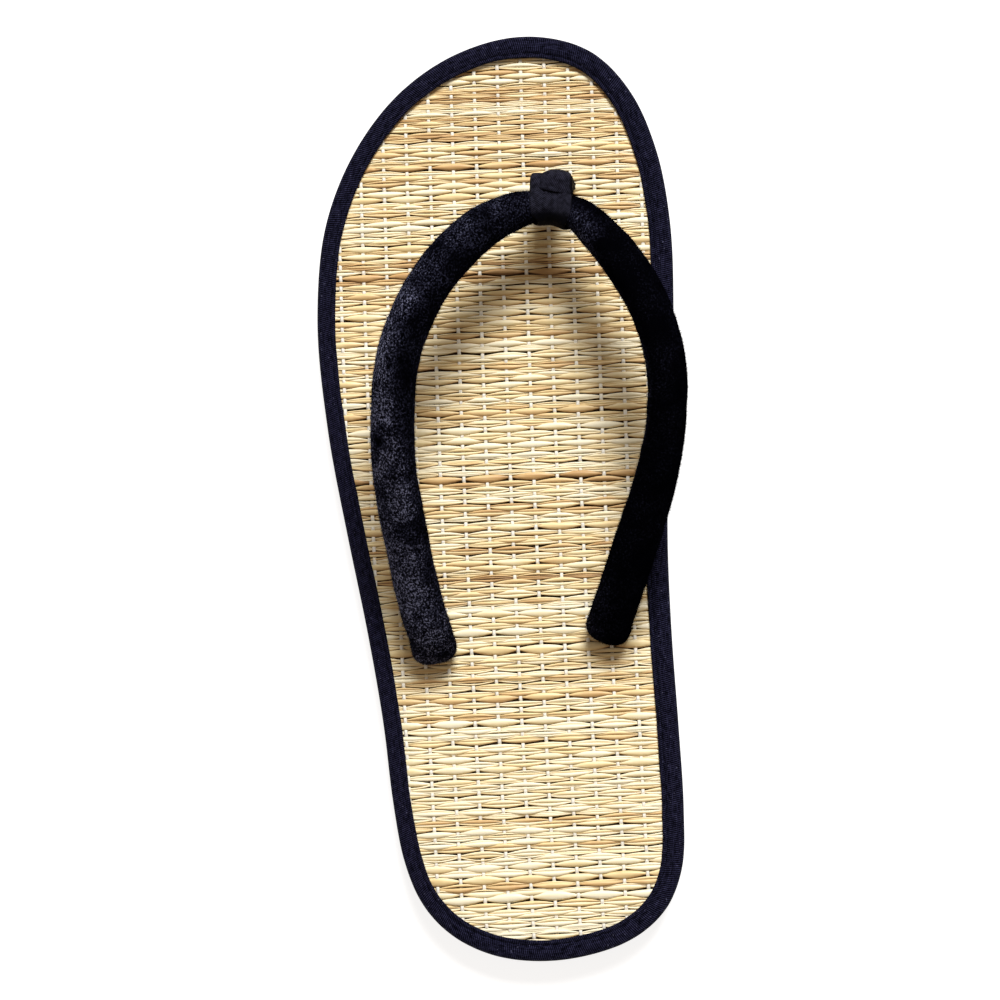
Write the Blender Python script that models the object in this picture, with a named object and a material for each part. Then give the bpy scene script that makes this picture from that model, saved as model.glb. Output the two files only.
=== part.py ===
"""Left zori sandal: a woven rush footbed bound with cotton tape on a foam rubber outsole,
with a padded velvet thong strap that a cotton toe post holds between the first two toes.

Units are metres. +Y runs from heel to toe, +X points to the big toe side and +Z is up.
The origin is on the floor, under the middle of the sandal's length and breadth.
Every piece is modelled flat first, and the toe and heel spring bend them all together at the end.
"""

import math

import bmesh
import bpy
import numpy as np

# Plan of the sole
SOLE_LENGTH = 0.270
HEEL_WIDTH = 0.0851
WAIST_WIDTH = 0.0939
BALL_WIDTH = 0.1047
SPAN_STEPS = 12
OUTLINE_STEPS = 104

# Layers of the sole, from the floor upwards
FIT_GAP = 0.0003
OUTSOLE_THICKNESS = 0.0065
OUTSOLE_INSET = 0.0006
OUTSOLE_EDGE = 0.0009
MAT_THICKNESS = 0.0034
MAT_RIM_THICKNESS = 0.0018
MAT_SHOULDER = 0.0010
RUSH_PITCH = 0.00173
RUSH_RELIEF = 0.00045

# Binding tape folded round the footbed's edge
TAPE_THICKNESS = 0.0007
TAPE_TOP_WIDTH = 0.0063
TAPE_NARROWING = 0.0009
TAPE_UNDER_WIDTH = 0.0060
TAPE_ROUND = 0.0014
TAPE_LIP = 0.0002

# Tread of the outsole: straight grooves across the ball and the heel
GROOVE_WIDTH = 0.0018
GROOVE_DEPTH = 0.0012
GROOVE_PITCH = 0.0062
GROOVE_MARGIN = 0.0080
BALL_TREAD = (0.57, 0.90)
HEEL_TREAD = (0.07, 0.29)

# Spring of the whole sandal off the floor at its two ends
TOE_SPRING = 0.0032
TOE_SPRING_START = 0.80
HEEL_SPRING = 0.0008
HEEL_SPRING_END = 0.06
SPRING_STEP = 0.0055

# Padded strap
STRAP_WIDTH = 0.0127
STRAP_DEPTH = 0.0090
STRAP_HEIGHT = 0.0335
STRAP_SIDES = 14
STRAP_STEPS = 3
STRAP_SQUARENESS = 2.5
TAIL_SHARE = 0.62
TAIL_ROWS = 2

# Cotton loop round the strap, and the toe post in front of it
LOOP_WIDTH = 0.0120
LOOP_TAPE = 0.0012
LOOP_STEPS = 5
LOOP_SIDES = 20
SEAT_LENGTH = 0.0180
POST_WIDTH = 0.0118
POST_THICKNESS = 0.0045
POST_BEND_RADIUS = 0.0034
POST_SIDES = 20
POST_SQUARENESS = 3.4

# Shading and mesh fineness
SHARP_ANGLE = 32
HEEL_SPLITS = 5
SNAP = 1e-6

# Columns of a strap station
PLACE = slice(0, 3)
ACROSS = slice(3, 6)
THROUGH = slice(6, 9)
WIDE, DEEP = 9, 10

SIDEWAYS = np.array([1.0, 0.0, 0.0])

COLLECTION = "zori_sandal"
CUTTER_COLLECTION = "cutters"

OUTSOLE_TOP = OUTSOLE_THICKNESS
MAT_BOTTOM = OUTSOLE_TOP + FIT_GAP
MAT_TOP = MAT_BOTTOM + MAT_THICKNESS
MAT_RIM_BOTTOM = MAT_BOTTOM + TAPE_THICKNESS + FIT_GAP
MAT_RIM_TOP = MAT_RIM_BOTTOM + MAT_RIM_THICKNESS
TAPE_TOP = MAT_RIM_TOP + FIT_GAP + TAPE_THICKNESS

# Stations of the sole's outline. along is a share of the sole's length from the heel, and
# little_toe_side and big_toe_side are shares of the sole's breadth there, from the foot's axis.
OUTLINE = (
    # along, little_toe_side, big_toe_side
    (0.0070, 0.045, 0.296),
    (0.0298, 0.189, 0.474),
    (0.0590, 0.275, 0.569),
    (0.1002, 0.333, 0.619),
    (0.1652, 0.375, 0.625),
    (0.2519, 0.397, 0.590),
    (0.3602, 0.439, 0.545),
    (0.4578, 0.484, 0.516),
    (0.5769, 0.520, 0.495),
    (0.7069, 0.521, 0.479),
    (0.8044, 0.494, 0.468),
    (0.8803, 0.412, 0.429),
    (0.9431, 0.282, 0.355),
    (0.9821, 0.127, 0.256),
)
HEEL_TIP_SIDE = 0.125
TOE_TIP_SIDE = 0.085

# Where each named breadth of the sole is measured, as shares of its length
BREADTHS = (
    # along, breadth
    (0.165, HEEL_WIDTH),
    (0.458, WAIST_WIDTH),
    (0.707, BALL_WIDTH),
)

# Run of the strap above the footbed. along is a share of the sole's length, side of the ball's
# width, rise of the strap's height, lean is how far its outer edge turns down in degrees, and
# width and depth are shares of the padded roll's own.
STRAP_RUN = (
    # along, side, rise, lean, width, depth
    (0.338, -0.185, 0.09, 0, 0.97, 0.95),
    (0.350, -0.188, 0.22, 2, 1.00, 1.00),
    (0.394, -0.215, 0.41, 8, 1.00, 1.00),
    (0.459, -0.243, 0.62, 16, 1.01, 1.00),
    (0.523, -0.266, 0.80, 22, 1.01, 1.00),
    (0.585, -0.269, 0.93, 25, 1.00, 1.00),
    (0.647, -0.252, 1.00, 25, 0.99, 1.00),
    (0.710, -0.192, 0.98, 24, 1.00, 1.00),
    (0.753, -0.118, 0.90, 22, 1.01, 1.00),
    (0.789, -0.024, 0.75, 20, 0.95, 0.96),
    (0.809, 0.085, 0.58, 20, 0.76, 0.82),
    (0.812, 0.151, 0.52, 20, 0.60, 0.72),
    (0.804, 0.213, 0.58, 22, 0.71, 0.82),
    (0.777, 0.291, 0.75, 28, 0.87, 0.96),
    (0.732, 0.381, 0.90, 38, 0.97, 1.00),
    (0.689, 0.436, 0.96, 46, 0.97, 1.00),
    (0.637, 0.468, 0.96, 50, 0.95, 1.00),
    (0.585, 0.467, 0.88, 48, 0.95, 1.00),
    (0.523, 0.438, 0.74, 36, 0.98, 1.00),
    (0.459, 0.385, 0.56, 22, 1.00, 1.00),
    (0.400, 0.333, 0.34, 10, 1.00, 1.00),
    (0.374, 0.309, 0.21, 3, 1.00, 1.00),
    (0.361, 0.299, 0.09, 0, 0.97, 0.95),
)
KNOT_ROW = 11

# Top of the toe post, where it folds back on to the loop. turn is in degrees from upright, and
# width and thickness are shares of the post's own.
POST_FOLD = (
    # turn, width, thickness
    (0, 0.98, 1.00),
    (25, 1.00, 1.02),
    (50, 1.00, 0.98),
    (72, 1.00, 0.82),
    (90, 0.98, 0.62),
)

# Colours are linear, with roughness and metallic values
MATERIALS = {
    "foam_rubber": ((0.016, 0.016, 0.018), 0.85, 0.0),
    "woven_rush": ((0.72, 0.56, 0.30), 0.62, 0.0),
    "cotton_tape": ((0.010, 0.010, 0.020), 0.80, 0.0),
    "velvet": ((0.006, 0.006, 0.009), 0.95, 0.0),
    "cotton_twill": ((0.008, 0.008, 0.013), 0.85, 0.0),
}


def along(share):
    """Y of a place given as a share of the sole's length from the heel."""
    return (share - 0.5) * SOLE_LENGTH


def breadth_at(share):
    """Breadth of the sole at a share of its length, between the three named breadths."""
    stations, breadths = zip(*BREADTHS)
    return float(np.interp(share, stations, breadths))


def smooth_run(rows, steps, closed=False):
    """Rows on a smooth curve through the given rows, with this many steps in each span."""
    rows = np.array(rows, float)
    following = np.roll(rows, -1, axis=0) - rows
    chords = np.linalg.norm(following[:, :3], axis=1)[:, None]
    rates = following / chords
    before, gaps = np.roll(rates, 1, axis=0), np.roll(chords, 1, axis=0)
    slopes = (before * chords + rates * gaps) / (chords + gaps)
    if not closed:
        slopes[0], slopes[-1] = rates[0], rates[-2]
    found = []
    last = len(rows) if closed else len(rows) - 1
    for i in range(last):
        j = (i + 1) % len(rows)
        for t in np.arange(steps) / steps:
            ease = t * t * (3 - 2 * t)
            out_of, into = t * (1 - t) ** 2, t * t * (t - 1)
            bow = (slopes[i] * out_of + slopes[j] * into) * chords[i]
            found.append(rows[i] * (1 - ease) + rows[j] * ease + bow)
    if not closed:
        found.append(rows[-1])
    return np.array(found)


def even_steps(points, count):
    """The closed run of points again, with count points an even distance apart."""
    ring = np.vstack([points, points[:1]])
    lengths = np.linalg.norm(np.diff(ring, axis=0), axis=1)
    travelled = np.concatenate([[0.0], np.cumsum(lengths)])
    wanted = np.linspace(0.0, travelled[-1], count, endpoint=False)
    return np.stack([np.interp(wanted, travelled, column) for column in ring.T], axis=1)


def sole_outline():
    """Plan of the sole as evenly spaced points, anticlockwise from the heel's tip."""
    big_toe_side = [
        (big * breadth_at(share), along(share)) for share, _, big in OUTLINE
    ]
    little_toe_side = [
        (-little * breadth_at(share), along(share)) for share, little, _ in OUTLINE
    ]
    heel_tip = (HEEL_TIP_SIDE * HEEL_WIDTH, along(0.0))
    toe_tip = (TOE_TIP_SIDE * BALL_WIDTH, along(1.0))
    corners = [heel_tip, *big_toe_side, toe_tip, *reversed(little_toe_side)]
    return even_steps(smooth_run(corners, SPAN_STEPS, closed=True), OUTLINE_STEPS)


def outward(outline):
    """Unit normal of the outline at each point, pointing away from the sole."""
    ahead = np.roll(outline, -1, axis=0) - np.roll(outline, 1, axis=0)
    normals = np.stack([ahead[:, 1], -ahead[:, 0]], axis=1)
    return normals / np.linalg.norm(normals, axis=1)[:, None]


def inset_ring(outline, inset, height):
    """The outline moved inwards and set at a height. inset is a length or one for each point."""
    points = outline - outward(outline) * np.reshape(inset, (-1, 1))
    return [(x, y, height) for x, y in points]


def tape_widths(outline):
    """Width of the tape's top at each point: it is drawn narrower along the little toe side."""
    to_the_side = np.clip(-outward(outline)[:, 0], 0.0, 1.0)
    return TAPE_TOP_WIDTH - TAPE_NARROWING * to_the_side


def material(name):
    """The named material, made the first time it is asked for."""
    if name in bpy.data.materials:
        return bpy.data.materials[name]
    colour, roughness, metallic = MATERIALS[name]
    made = bpy.data.materials.new(name)
    made.use_nodes = True
    shader = made.node_tree.nodes["Principled BSDF"]
    shader.inputs["Base Color"].default_value = (*colour, 1.0)
    shader.inputs["Roughness"].default_value = roughness
    shader.inputs["Metallic"].default_value = metallic
    made.diffuse_color = (*colour, 1.0)
    return made


def collection(name):
    """The named collection in the scene, made the first time it is asked for."""
    if name not in bpy.data.collections:
        bpy.context.scene.collection.children.link(bpy.data.collections.new(name))
    return bpy.data.collections[name]


def place(name, shape, finish=None):
    """Turns a bmesh into an object: a piece with a finish, or a cutter without one."""
    mesh = bpy.data.meshes.new(name)
    shape.to_mesh(mesh)
    shape.free()
    made = bpy.data.objects.new(name, mesh)
    if finish:
        mesh.materials.append(material(finish))
        collection(COLLECTION).objects.link(made)
    else:
        made.hide_render = True
        made.display_type = "WIRE"
        collection(CUTTER_COLLECTION).objects.link(made)
    return made


def loft(rings, wrapped=False):
    """A closed shape through rings of equal length, capped at its ends or wrapped into a ring."""
    shape = bmesh.new()
    loops = [[shape.verts.new(point) for point in ring] for ring in rings]
    pairs = list(zip(loops, loops[1:]))
    if wrapped:
        pairs.append((loops[-1], loops[0]))
    for lower, upper in pairs:
        for i, corner in enumerate(lower):
            j = (i + 1) % len(lower)
            shape.faces.new((corner, lower[j], upper[j], upper[i]))
    if not wrapped:
        shape.faces.new(list(reversed(loops[0])))
        shape.faces.new(loops[-1])
    bmesh.ops.recalc_face_normals(shape, faces=shape.faces)
    return shape


def cut(piece, cutters):
    """Cuts the cutters out of the piece, and keeps the result as its mesh."""
    for cutter in cutters:
        boolean = piece.modifiers.new(cutter.name, "BOOLEAN")
        boolean.operation = "DIFFERENCE"
        boolean.object = cutter
    bpy.context.view_layer.update()
    evaluated = piece.evaluated_get(bpy.context.evaluated_depsgraph_get())
    mesh = bpy.data.meshes.new_from_object(evaluated)
    piece.modifiers.clear()
    piece.data = mesh


def lift(y):
    """How far the sandal's spring raises everything at this Y off the flat."""
    share = y / SOLE_LENGTH + 0.5
    toe = max(0.0, (share - TOE_SPRING_START) / (1.0 - TOE_SPRING_START))
    heel = max(0.0, (HEEL_SPRING_END - share) / HEEL_SPRING_END)
    return TOE_SPRING * toe**2 + HEEL_SPRING * heel**2


def split_across(shape, geometry, stations):
    """Splits this geometry of the shape across the sandal at each Y station, and returns it."""
    for y in stations:
        geometry = bmesh.ops.bisect_plane(
            shape,
            geom=geometry,
            dist=SNAP,
            plane_co=(0.0, y, 0.0),
            plane_no=(0.0, 1.0, 0.0),
        )["geom"]
    return geometry


def spring(piece, split=False):
    """Bends a flat piece with the toe and heel spring, split first where its faces are long."""
    shape = bmesh.new()
    shape.from_mesh(piece.data)
    if split:
        toe = np.arange(along(TOE_SPRING_START), along(1.0), SPRING_STEP)
        heel = np.linspace(along(0.0), along(HEEL_SPRING_END), HEEL_SPLITS)[1:]
        split_across(shape, [*shape.verts, *shape.edges, *shape.faces], [*heel, *toe])
    for vert in shape.verts:
        vert.co.z += lift(vert.co.y)
    bmesh.ops.triangulate(shape, faces=shape.faces)
    shape.to_mesh(piece.data)
    shape.free()
    piece.data.shade_smooth()
    piece.data.set_sharp_from_angle(angle=math.radians(SHARP_ANGLE))


def groove_cutters(outline):
    """One box for each tread groove, as wide as the sole there less its margins."""
    normals = outward(outline)
    made = []
    for first, last in (HEEL_TREAD, BALL_TREAD):
        count = int((last - first) * SOLE_LENGTH / GROOVE_PITCH)
        for i in range(count + 1):
            y = along(first) + i * GROOVE_PITCH
            low, high = side_limits(outline, normals, y)
            width = high - low - 2 * GROOVE_MARGIN
            shape = bmesh.new()
            bmesh.ops.create_cube(shape, size=1.0)
            size = (width, GROOVE_WIDTH, 2 * GROOVE_DEPTH)
            bmesh.ops.scale(shape, vec=size, verts=shape.verts)
            centre = ((low + high) / 2, y, 0.0)
            bmesh.ops.translate(shape, vec=centre, verts=shape.verts)
            made.append(place(f"groove_{len(made) + 1}", shape))
    return made


def side_limits(outline, normals, y):
    """Lowest and highest X of the outline at this Y."""
    limits = []
    for side in (-1, 1):
        chosen = outline[normals[:, 0] * side > 0]
        order = np.argsort(chosen[:, 1])
        limits.append(float(np.interp(y, chosen[order, 1], chosen[order, 0])))
    return limits


def make_outsole(outline):
    """Foam rubber outsole: chamfered at the floor, grooved under the ball and the heel."""
    rings = [
        inset_ring(outline, OUTSOLE_INSET + OUTSOLE_EDGE, 0.0),
        inset_ring(outline, OUTSOLE_INSET, OUTSOLE_EDGE),
        inset_ring(outline, OUTSOLE_INSET, OUTSOLE_TOP),
    ]
    outsole = place("outsole", loft(rings), "foam_rubber")
    cut(outsole, groove_cutters(outline))
    spring(outsole, split=True)
    return outsole


def raise_rows(shape):
    """Splits the mat's flat top into its woven rows, and raises a crest along each of them."""
    top = max(shape.faces, key=lambda face: face.calc_area() * face.normal.z)
    rows = int(SOLE_LENGTH / RUSH_PITCH)
    creases = along(0.0) + np.arange(1, rows + 1) * RUSH_PITCH
    crests = creases - RUSH_PITCH / 2
    field = split_across(shape, [*top.verts, *top.edges, top], creases)
    woven = split_across(shape, field, crests)
    for part in woven:
        if isinstance(part, bmesh.types.BMVert) and np.abs(crests - part.co.y).min() < SNAP:
            part.co.z += RUSH_RELIEF


def make_footbed(outline, holes):
    """Rush mat: pressed thin under the tape, ribbed on top, with holes for the strap and post."""
    edge = TAPE_THICKNESS + FIT_GAP
    under = TAPE_UNDER_WIDTH + FIT_GAP
    shoulder = tape_widths(outline) + FIT_GAP
    valley = MAT_TOP - RUSH_RELIEF
    rings = [
        inset_ring(outline, under, MAT_BOTTOM),
        inset_ring(outline, under, MAT_RIM_BOTTOM),
        inset_ring(outline, edge, MAT_RIM_BOTTOM),
        inset_ring(outline, edge, MAT_RIM_TOP),
        inset_ring(outline, shoulder, MAT_RIM_TOP),
        inset_ring(outline, shoulder + MAT_SHOULDER, valley),
        inset_ring(outline, shoulder + 2 * MAT_SHOULDER, valley),
    ]
    shape = loft(rings)
    raise_rows(shape)
    bmesh.ops.triangulate(shape, faces=shape.faces)
    footbed = place("footbed", shape, "woven_rush")
    cut(footbed, holes)
    spring(footbed, split=True)
    return footbed


def make_binding(outline):
    """Tape folded round the footbed's edge: one closed ring with a C section."""
    widths = tape_widths(outline)
    bottom = MAT_BOTTOM
    inner_bottom = bottom + TAPE_THICKNESS
    inner_top = TAPE_TOP - TAPE_THICKNESS
    section = [
        (widths, inner_top),
        (widths, TAPE_TOP - TAPE_LIP),
        (widths - TAPE_LIP, TAPE_TOP),
    ]
    radius = min(TAPE_ROUND, (TAPE_TOP - bottom) / 2)
    turns = np.radians([90, 60, 30, 0])
    corner = [(radius * (1 - math.cos(turn)), radius * (1 - math.sin(turn))) for turn in turns]
    section += [(inset, TAPE_TOP - drop) for inset, drop in corner]
    section += [(inset, bottom + drop) for inset, drop in reversed(corner)]
    section += [
        (TAPE_UNDER_WIDTH, bottom),
        (TAPE_UNDER_WIDTH, inner_bottom),
        (TAPE_THICKNESS, inner_bottom),
        (TAPE_THICKNESS, inner_top),
    ]
    rings = [inset_ring(outline, inset, height) for inset, height in section]
    binding = place("binding", loft(rings, wrapped=True), "cotton_tape")
    spring(binding)
    return binding


def strap_stations():
    """Smooth run of the strap from tail to tail: its place, its two axes and its half sizes."""
    run = []
    for share, side, rise, lean, width, depth in STRAP_RUN:
        place_here = (side * BALL_WIDTH, along(share), MAT_TOP + rise * STRAP_HEIGHT)
        run.append((*place_here, lean, width * STRAP_WIDTH / 2, depth * STRAP_DEPTH / 2))

    def tail(seat):
        size = (TAIL_SHARE * STRAP_WIDTH / 2, TAIL_SHARE * STRAP_DEPTH / 2)
        foot = OUTSOLE_TOP + FIT_GAP
        return [(*seat[:2], z, 0.0, *size) for z in (foot, MAT_TOP + FIT_GAP)]

    rows = smooth_run([*tail(run[0]), *run, *reversed(tail(run[-1]))], STRAP_STEPS)
    across, through = strap_axes(rows[:, :3], np.radians(rows[:, 3]))
    return np.hstack([rows[:, :3], across, through, rows[:, 4:]])


def strap_axes(places, leans):
    """At each place, the way across the roll and the way through it, leaned about its run."""
    ahead = np.gradient(places, axis=0)
    ahead /= np.linalg.norm(ahead, axis=1)[:, None]
    reach = (TAIL_ROWS + 1) * STRAP_STEPS
    across, through = [], []
    for i, (tangent, lean) in enumerate(zip(ahead, leans)):
        middle = min(max(i, reach), len(places) - 1 - reach)
        plan = places[middle + reach] - places[middle - reach]
        inward = np.array([plan[1], -plan[0], 0.0])
        inward -= tangent * (inward @ tangent)
        inward /= np.linalg.norm(inward)
        upward = np.cross(inward, tangent)
        across.append(inward * math.cos(lean) + upward * math.sin(lean))
        through.append(upward * math.cos(lean) - inward * math.sin(lean))
    return np.array(across), np.array(through)


def oval(centre, across, through, sides, squareness):
    """A squarish oval ring of points about a centre, with half sizes in across and through."""
    ring = []
    for turn in np.arange(sides) * 2 * math.pi / sides:
        c, s = math.cos(turn), math.sin(turn)
        size = (abs(c) ** squareness + abs(s) ** squareness) ** (-1 / squareness)
        ring.append(centre + size * (c * across + s * through))
    return ring


def strap_rings(stations, grow, sides):
    """Rings of the strap's roll, grown by a clearance all round."""
    rings = []
    for row in stations:
        wide = row[ACROSS] * (row[WIDE] + grow)
        deep = row[THROUGH] * (row[DEEP] + grow)
        rings.append(oval(row[PLACE], wide, deep, sides, STRAP_SQUARENESS))
    return rings


def make_strap(stations):
    """Velvet roll from tail to tail, in one piece."""
    strap = place("strap", loft(strap_rings(stations, 0.0, STRAP_SIDES)), "velvet")
    spring(strap)
    return strap


def knot_station(stations):
    """Number of the station at the strap's knot."""
    return (TAIL_ROWS + KNOT_ROW) * STRAP_STEPS


def near_knot(stations, length):
    """Evenly spaced stations of the strap, reaching this length in all across its knot."""
    steps = np.linalg.norm(np.diff(stations[:, PLACE], axis=0), axis=1)
    travelled = np.concatenate([[0.0], np.cumsum(steps)])
    middle = travelled[knot_station(stations)]
    wanted = np.linspace(middle - length / 2, middle + length / 2, LOOP_STEPS + 1)
    return np.stack([np.interp(wanted, travelled, c) for c in stations.T], axis=1)


def make_loop(stations):
    """Cotton loop wound round the strap: its rings run out over the roll and back beneath."""
    around = near_knot(stations, LOOP_WIDTH)
    outside = strap_rings(around, FIT_GAP + LOOP_TAPE, LOOP_SIDES)
    inside = strap_rings(around, FIT_GAP, LOOP_SIDES)
    loop = place("toe_loop", loft([*outside, *reversed(inside)], wrapped=True), "cotton_twill")
    spring(loop)
    return loop


def post_centre(stations):
    """Where the toe post stands in plan, close in front of the loop."""
    knot = stations[knot_station(stations)]
    reach = knot[WIDE] + 2 * FIT_GAP + LOOP_TAPE + POST_THICKNESS / 2
    return knot[0], knot[1] + reach


def post_ring(centre, angle, width, thickness):
    """One ring of the toe post, square to its run at this angle of its fold."""
    through = np.array([0.0, math.cos(angle), math.sin(angle)])
    return oval(centre, SIDEWAYS * width / 2, through * thickness / 2, POST_SIDES, POST_SQUARENESS)


def post_rings(stations):
    """Rings of the toe post from the outsole up, and over its fold at the top."""
    x, y = post_centre(stations)
    low = OUTSOLE_TOP + FIT_GAP
    high = stations[knot_station(stations), 2]
    width, thickness = POST_WIDTH * POST_FOLD[0][1], POST_THICKNESS * POST_FOLD[0][2]
    rings = [post_ring((x, y, z), 0.0, width, thickness) for z in (low, (low + high) / 2)]
    for turn, width, thickness in POST_FOLD:
        angle = math.radians(turn)
        back = POST_BEND_RADIUS * (1 - math.cos(angle))
        up = POST_BEND_RADIUS * math.sin(angle)
        size = (POST_WIDTH * width, POST_THICKNESS * thickness)
        rings.append(post_ring((x, y - back, high + up), angle, *size))
    return rings


def make_post(stations):
    """Folded cotton post from the outsole up through the mat, cupped over the loop's front."""
    post = place("toe_post", loft(post_rings(stations)), "cotton_twill")
    around = 2 * FIT_GAP + LOOP_TAPE
    seat = strap_rings(near_knot(stations, SEAT_LENGTH), around, LOOP_SIDES)
    cut(post, [place("loop_seat", loft(seat))])
    spring(post)
    return post


def hole_cutters(stations):
    """Holes through the mat: one for each tail of the strap, and one for the toe post."""
    low, high = OUTSOLE_TOP, MAT_TOP + RUSH_RELIEF
    made = []
    for name, end in (("outer_tail_hole", 0), ("inner_tail_hole", -1)):
        ends = np.repeat(stations[end][None], 2, axis=0)
        ends[:, 2] = low, high
        made.append(place(name, loft(strap_rings(ends, FIT_GAP, STRAP_SIDES))))
    x, y = post_centre(stations)
    size = (POST_WIDTH + 2 * FIT_GAP, POST_THICKNESS + 2 * FIT_GAP)
    rings = [post_ring((x, y, z), 0.0, *size) for z in (low, high)]
    made.append(place("post_hole", loft(rings)))
    return made


def clear_scene():
    """Removes every object of the start-up scene."""
    for old in list(bpy.data.objects):
        bpy.data.objects.remove(old, do_unlink=True)


def main():
    """Builds the sandal's six pieces."""
    clear_scene()
    outline = sole_outline()
    stations = strap_stations()
    make_outsole(outline)
    make_footbed(outline, hole_cutters(stations))
    make_binding(outline)
    make_strap(stations)
    make_loop(stations)
    make_post(stations)


if __name__ == "__main__":
    main()
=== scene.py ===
"""Looks of the left zori sandal: woven rush footbed, cotton tape, velvet strap and foam sole.

Units are metres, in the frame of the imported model: +Y runs to the toe, +X to the big toe side
and +Z up. The sole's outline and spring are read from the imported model. The strap's run is a
table of shares of the named sizes, because a soft roll's run can't be read from its solid.
"""

import logging
import math
from dataclasses import dataclass
from enum import Enum
from typing import Any, Iterable, Sequence

import bpy
import numpy as np
from mathutils import Matrix, Vector, noise


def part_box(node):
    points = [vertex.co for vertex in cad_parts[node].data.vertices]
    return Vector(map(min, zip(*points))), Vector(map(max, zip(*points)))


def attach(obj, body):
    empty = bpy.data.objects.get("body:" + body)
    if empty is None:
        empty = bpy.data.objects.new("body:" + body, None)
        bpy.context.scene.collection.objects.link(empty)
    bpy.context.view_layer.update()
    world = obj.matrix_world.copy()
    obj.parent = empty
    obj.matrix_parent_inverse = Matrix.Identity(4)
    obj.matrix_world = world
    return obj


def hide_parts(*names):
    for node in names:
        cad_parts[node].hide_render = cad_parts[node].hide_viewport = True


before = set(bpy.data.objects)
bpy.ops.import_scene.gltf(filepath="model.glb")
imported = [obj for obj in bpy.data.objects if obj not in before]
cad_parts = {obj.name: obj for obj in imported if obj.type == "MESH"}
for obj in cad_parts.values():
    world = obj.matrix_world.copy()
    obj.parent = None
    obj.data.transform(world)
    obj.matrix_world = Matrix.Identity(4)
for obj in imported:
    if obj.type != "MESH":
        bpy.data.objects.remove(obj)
LOG = logging.getLogger("zori")
MM = 0.001
Triple = tuple[float, float, float]
Colour = Triple
# Radius about a tail of the strap within which the stems stop.
HOLE_RADIUS = 3.2 * MM


class Slot(Enum):
    """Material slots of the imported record."""

    FOAM_RUBBER = "foam_rubber"
    WOVEN_RUSH = "woven_rush"
    COTTON_TAPE = "cotton_tape"
    VELVET = "velvet"
    COTTON_TWILL = "cotton_twill"


class Cover(Enum):
    """Which texture coordinates a pattern is laid on."""

    SOLID = "Object"
    SURFACE = "UV"


def smoothstep(low: float, high: float, value: np.ndarray) -> np.ndarray:
    """Rises smoothly from 0 at low to 1 at high."""
    share = np.clip((value - low) / (high - low), 0.0, 1.0)
    return share * share * (3.0 - 2.0 * share)


def bell(value: np.ndarray, middle: np.ndarray | float, breadth: float) -> np.ndarray:
    """A bell curve: 1 at its middle and near 0 beyond twice its breadth."""
    return np.exp(-(((value - middle) / breadth) ** 2))


def waver(points: np.ndarray, size: float, seed: float = 0.0) -> np.ndarray:
    """Smooth noise between about -1 and 1 at each point.

    Args:
        points: Array of positions, one to a row.
        size: Length over which the noise changes.
        seed: Moves the noise to another place.

    Returns:
        One value for each point.
    """
    shift = Vector((seed, 1.7 * seed, -0.6 * seed))
    return np.array([noise.noise(Vector(point) / size + shift) for point in points])


def smooth_run(rows: np.ndarray, steps: int) -> np.ndarray:
    """Rows on a smooth curve through the given rows.

    Args:
        rows: Stations, whose first three columns are a place.
        steps: How many rows to find in each span.

    Returns:
        The rows of the curve, from the first station to the last.
    """
    following = np.diff(rows, axis=0)
    chords = np.linalg.norm(following[:, :3], axis=1)[:, None]
    rates = following / chords
    slopes = np.empty_like(rows)
    slopes[1:-1] = (rates[:-1] * chords[1:] + rates[1:] * chords[:-1]) / (chords[:-1] + chords[1:])
    slopes[0], slopes[-1] = rates[0], rates[-1]
    found = []
    for i, chord in enumerate(chords):
        for t in np.arange(steps) / steps:
            ease = t * t * (3 - 2 * t)
            bow = (slopes[i] * t * (1 - t) ** 2 + slopes[i + 1] * t * t * (t - 1)) * chord
            found.append(rows[i] * (1 - ease) + rows[i + 1] * ease + bow)
    return np.array([*found, rows[-1]])


def travelled(places: np.ndarray) -> np.ndarray:
    """Length travelled along the places, from 0 at the first."""
    steps = np.linalg.norm(np.diff(places, axis=0), axis=1)
    return np.concatenate([[0.0], np.cumsum(steps)])


def columns_at(wanted: np.ndarray, known: np.ndarray, rows: np.ndarray) -> np.ndarray:
    """Every column of the rows, read at the wanted values of what is known of each row."""
    return np.stack([np.interp(wanted, known, column) for column in rows.T], axis=1)


def ring_turns(sides: int) -> np.ndarray:
    """Angle of each point of a ring, in radians."""
    return np.arange(sides) * 2 * math.pi / sides


def squarish(c: np.ndarray, s: np.ndarray, power: np.ndarray | float) -> np.ndarray:
    """Reach of a squarish oval at these cosines and sines: round at power 2, squarer above."""
    return (np.abs(c) ** power + np.abs(s) ** power) ** (-1 / power)


class NodeSheet:
    """A node tree, with a short way to add nodes."""

    PREFIX = ""

    def __init__(self, tree: bpy.types.NodeTree) -> None:
        """Works on this tree."""
        self.tree = tree

    def add(self, kind: str, inputs: dict[Any, Any] | None = None, **settings: Any) -> Any:
        """Adds a node.

        Args:
            kind: The node's type, without the sheet's prefix.
            inputs: Values, or sockets to join, for the node's inputs by name or number.
            settings: The node's own properties.

        Returns:
            The node.
        """
        node = self.tree.nodes.new(self.PREFIX + kind)
        for name, value in settings.items():
            setattr(node, name, value)
        for name, value in (inputs or {}).items():
            if isinstance(value, bpy.types.NodeSocket):
                self.tree.links.new(value, node.inputs[name])
            else:
                node.inputs[name].default_value = value
        return node


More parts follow.
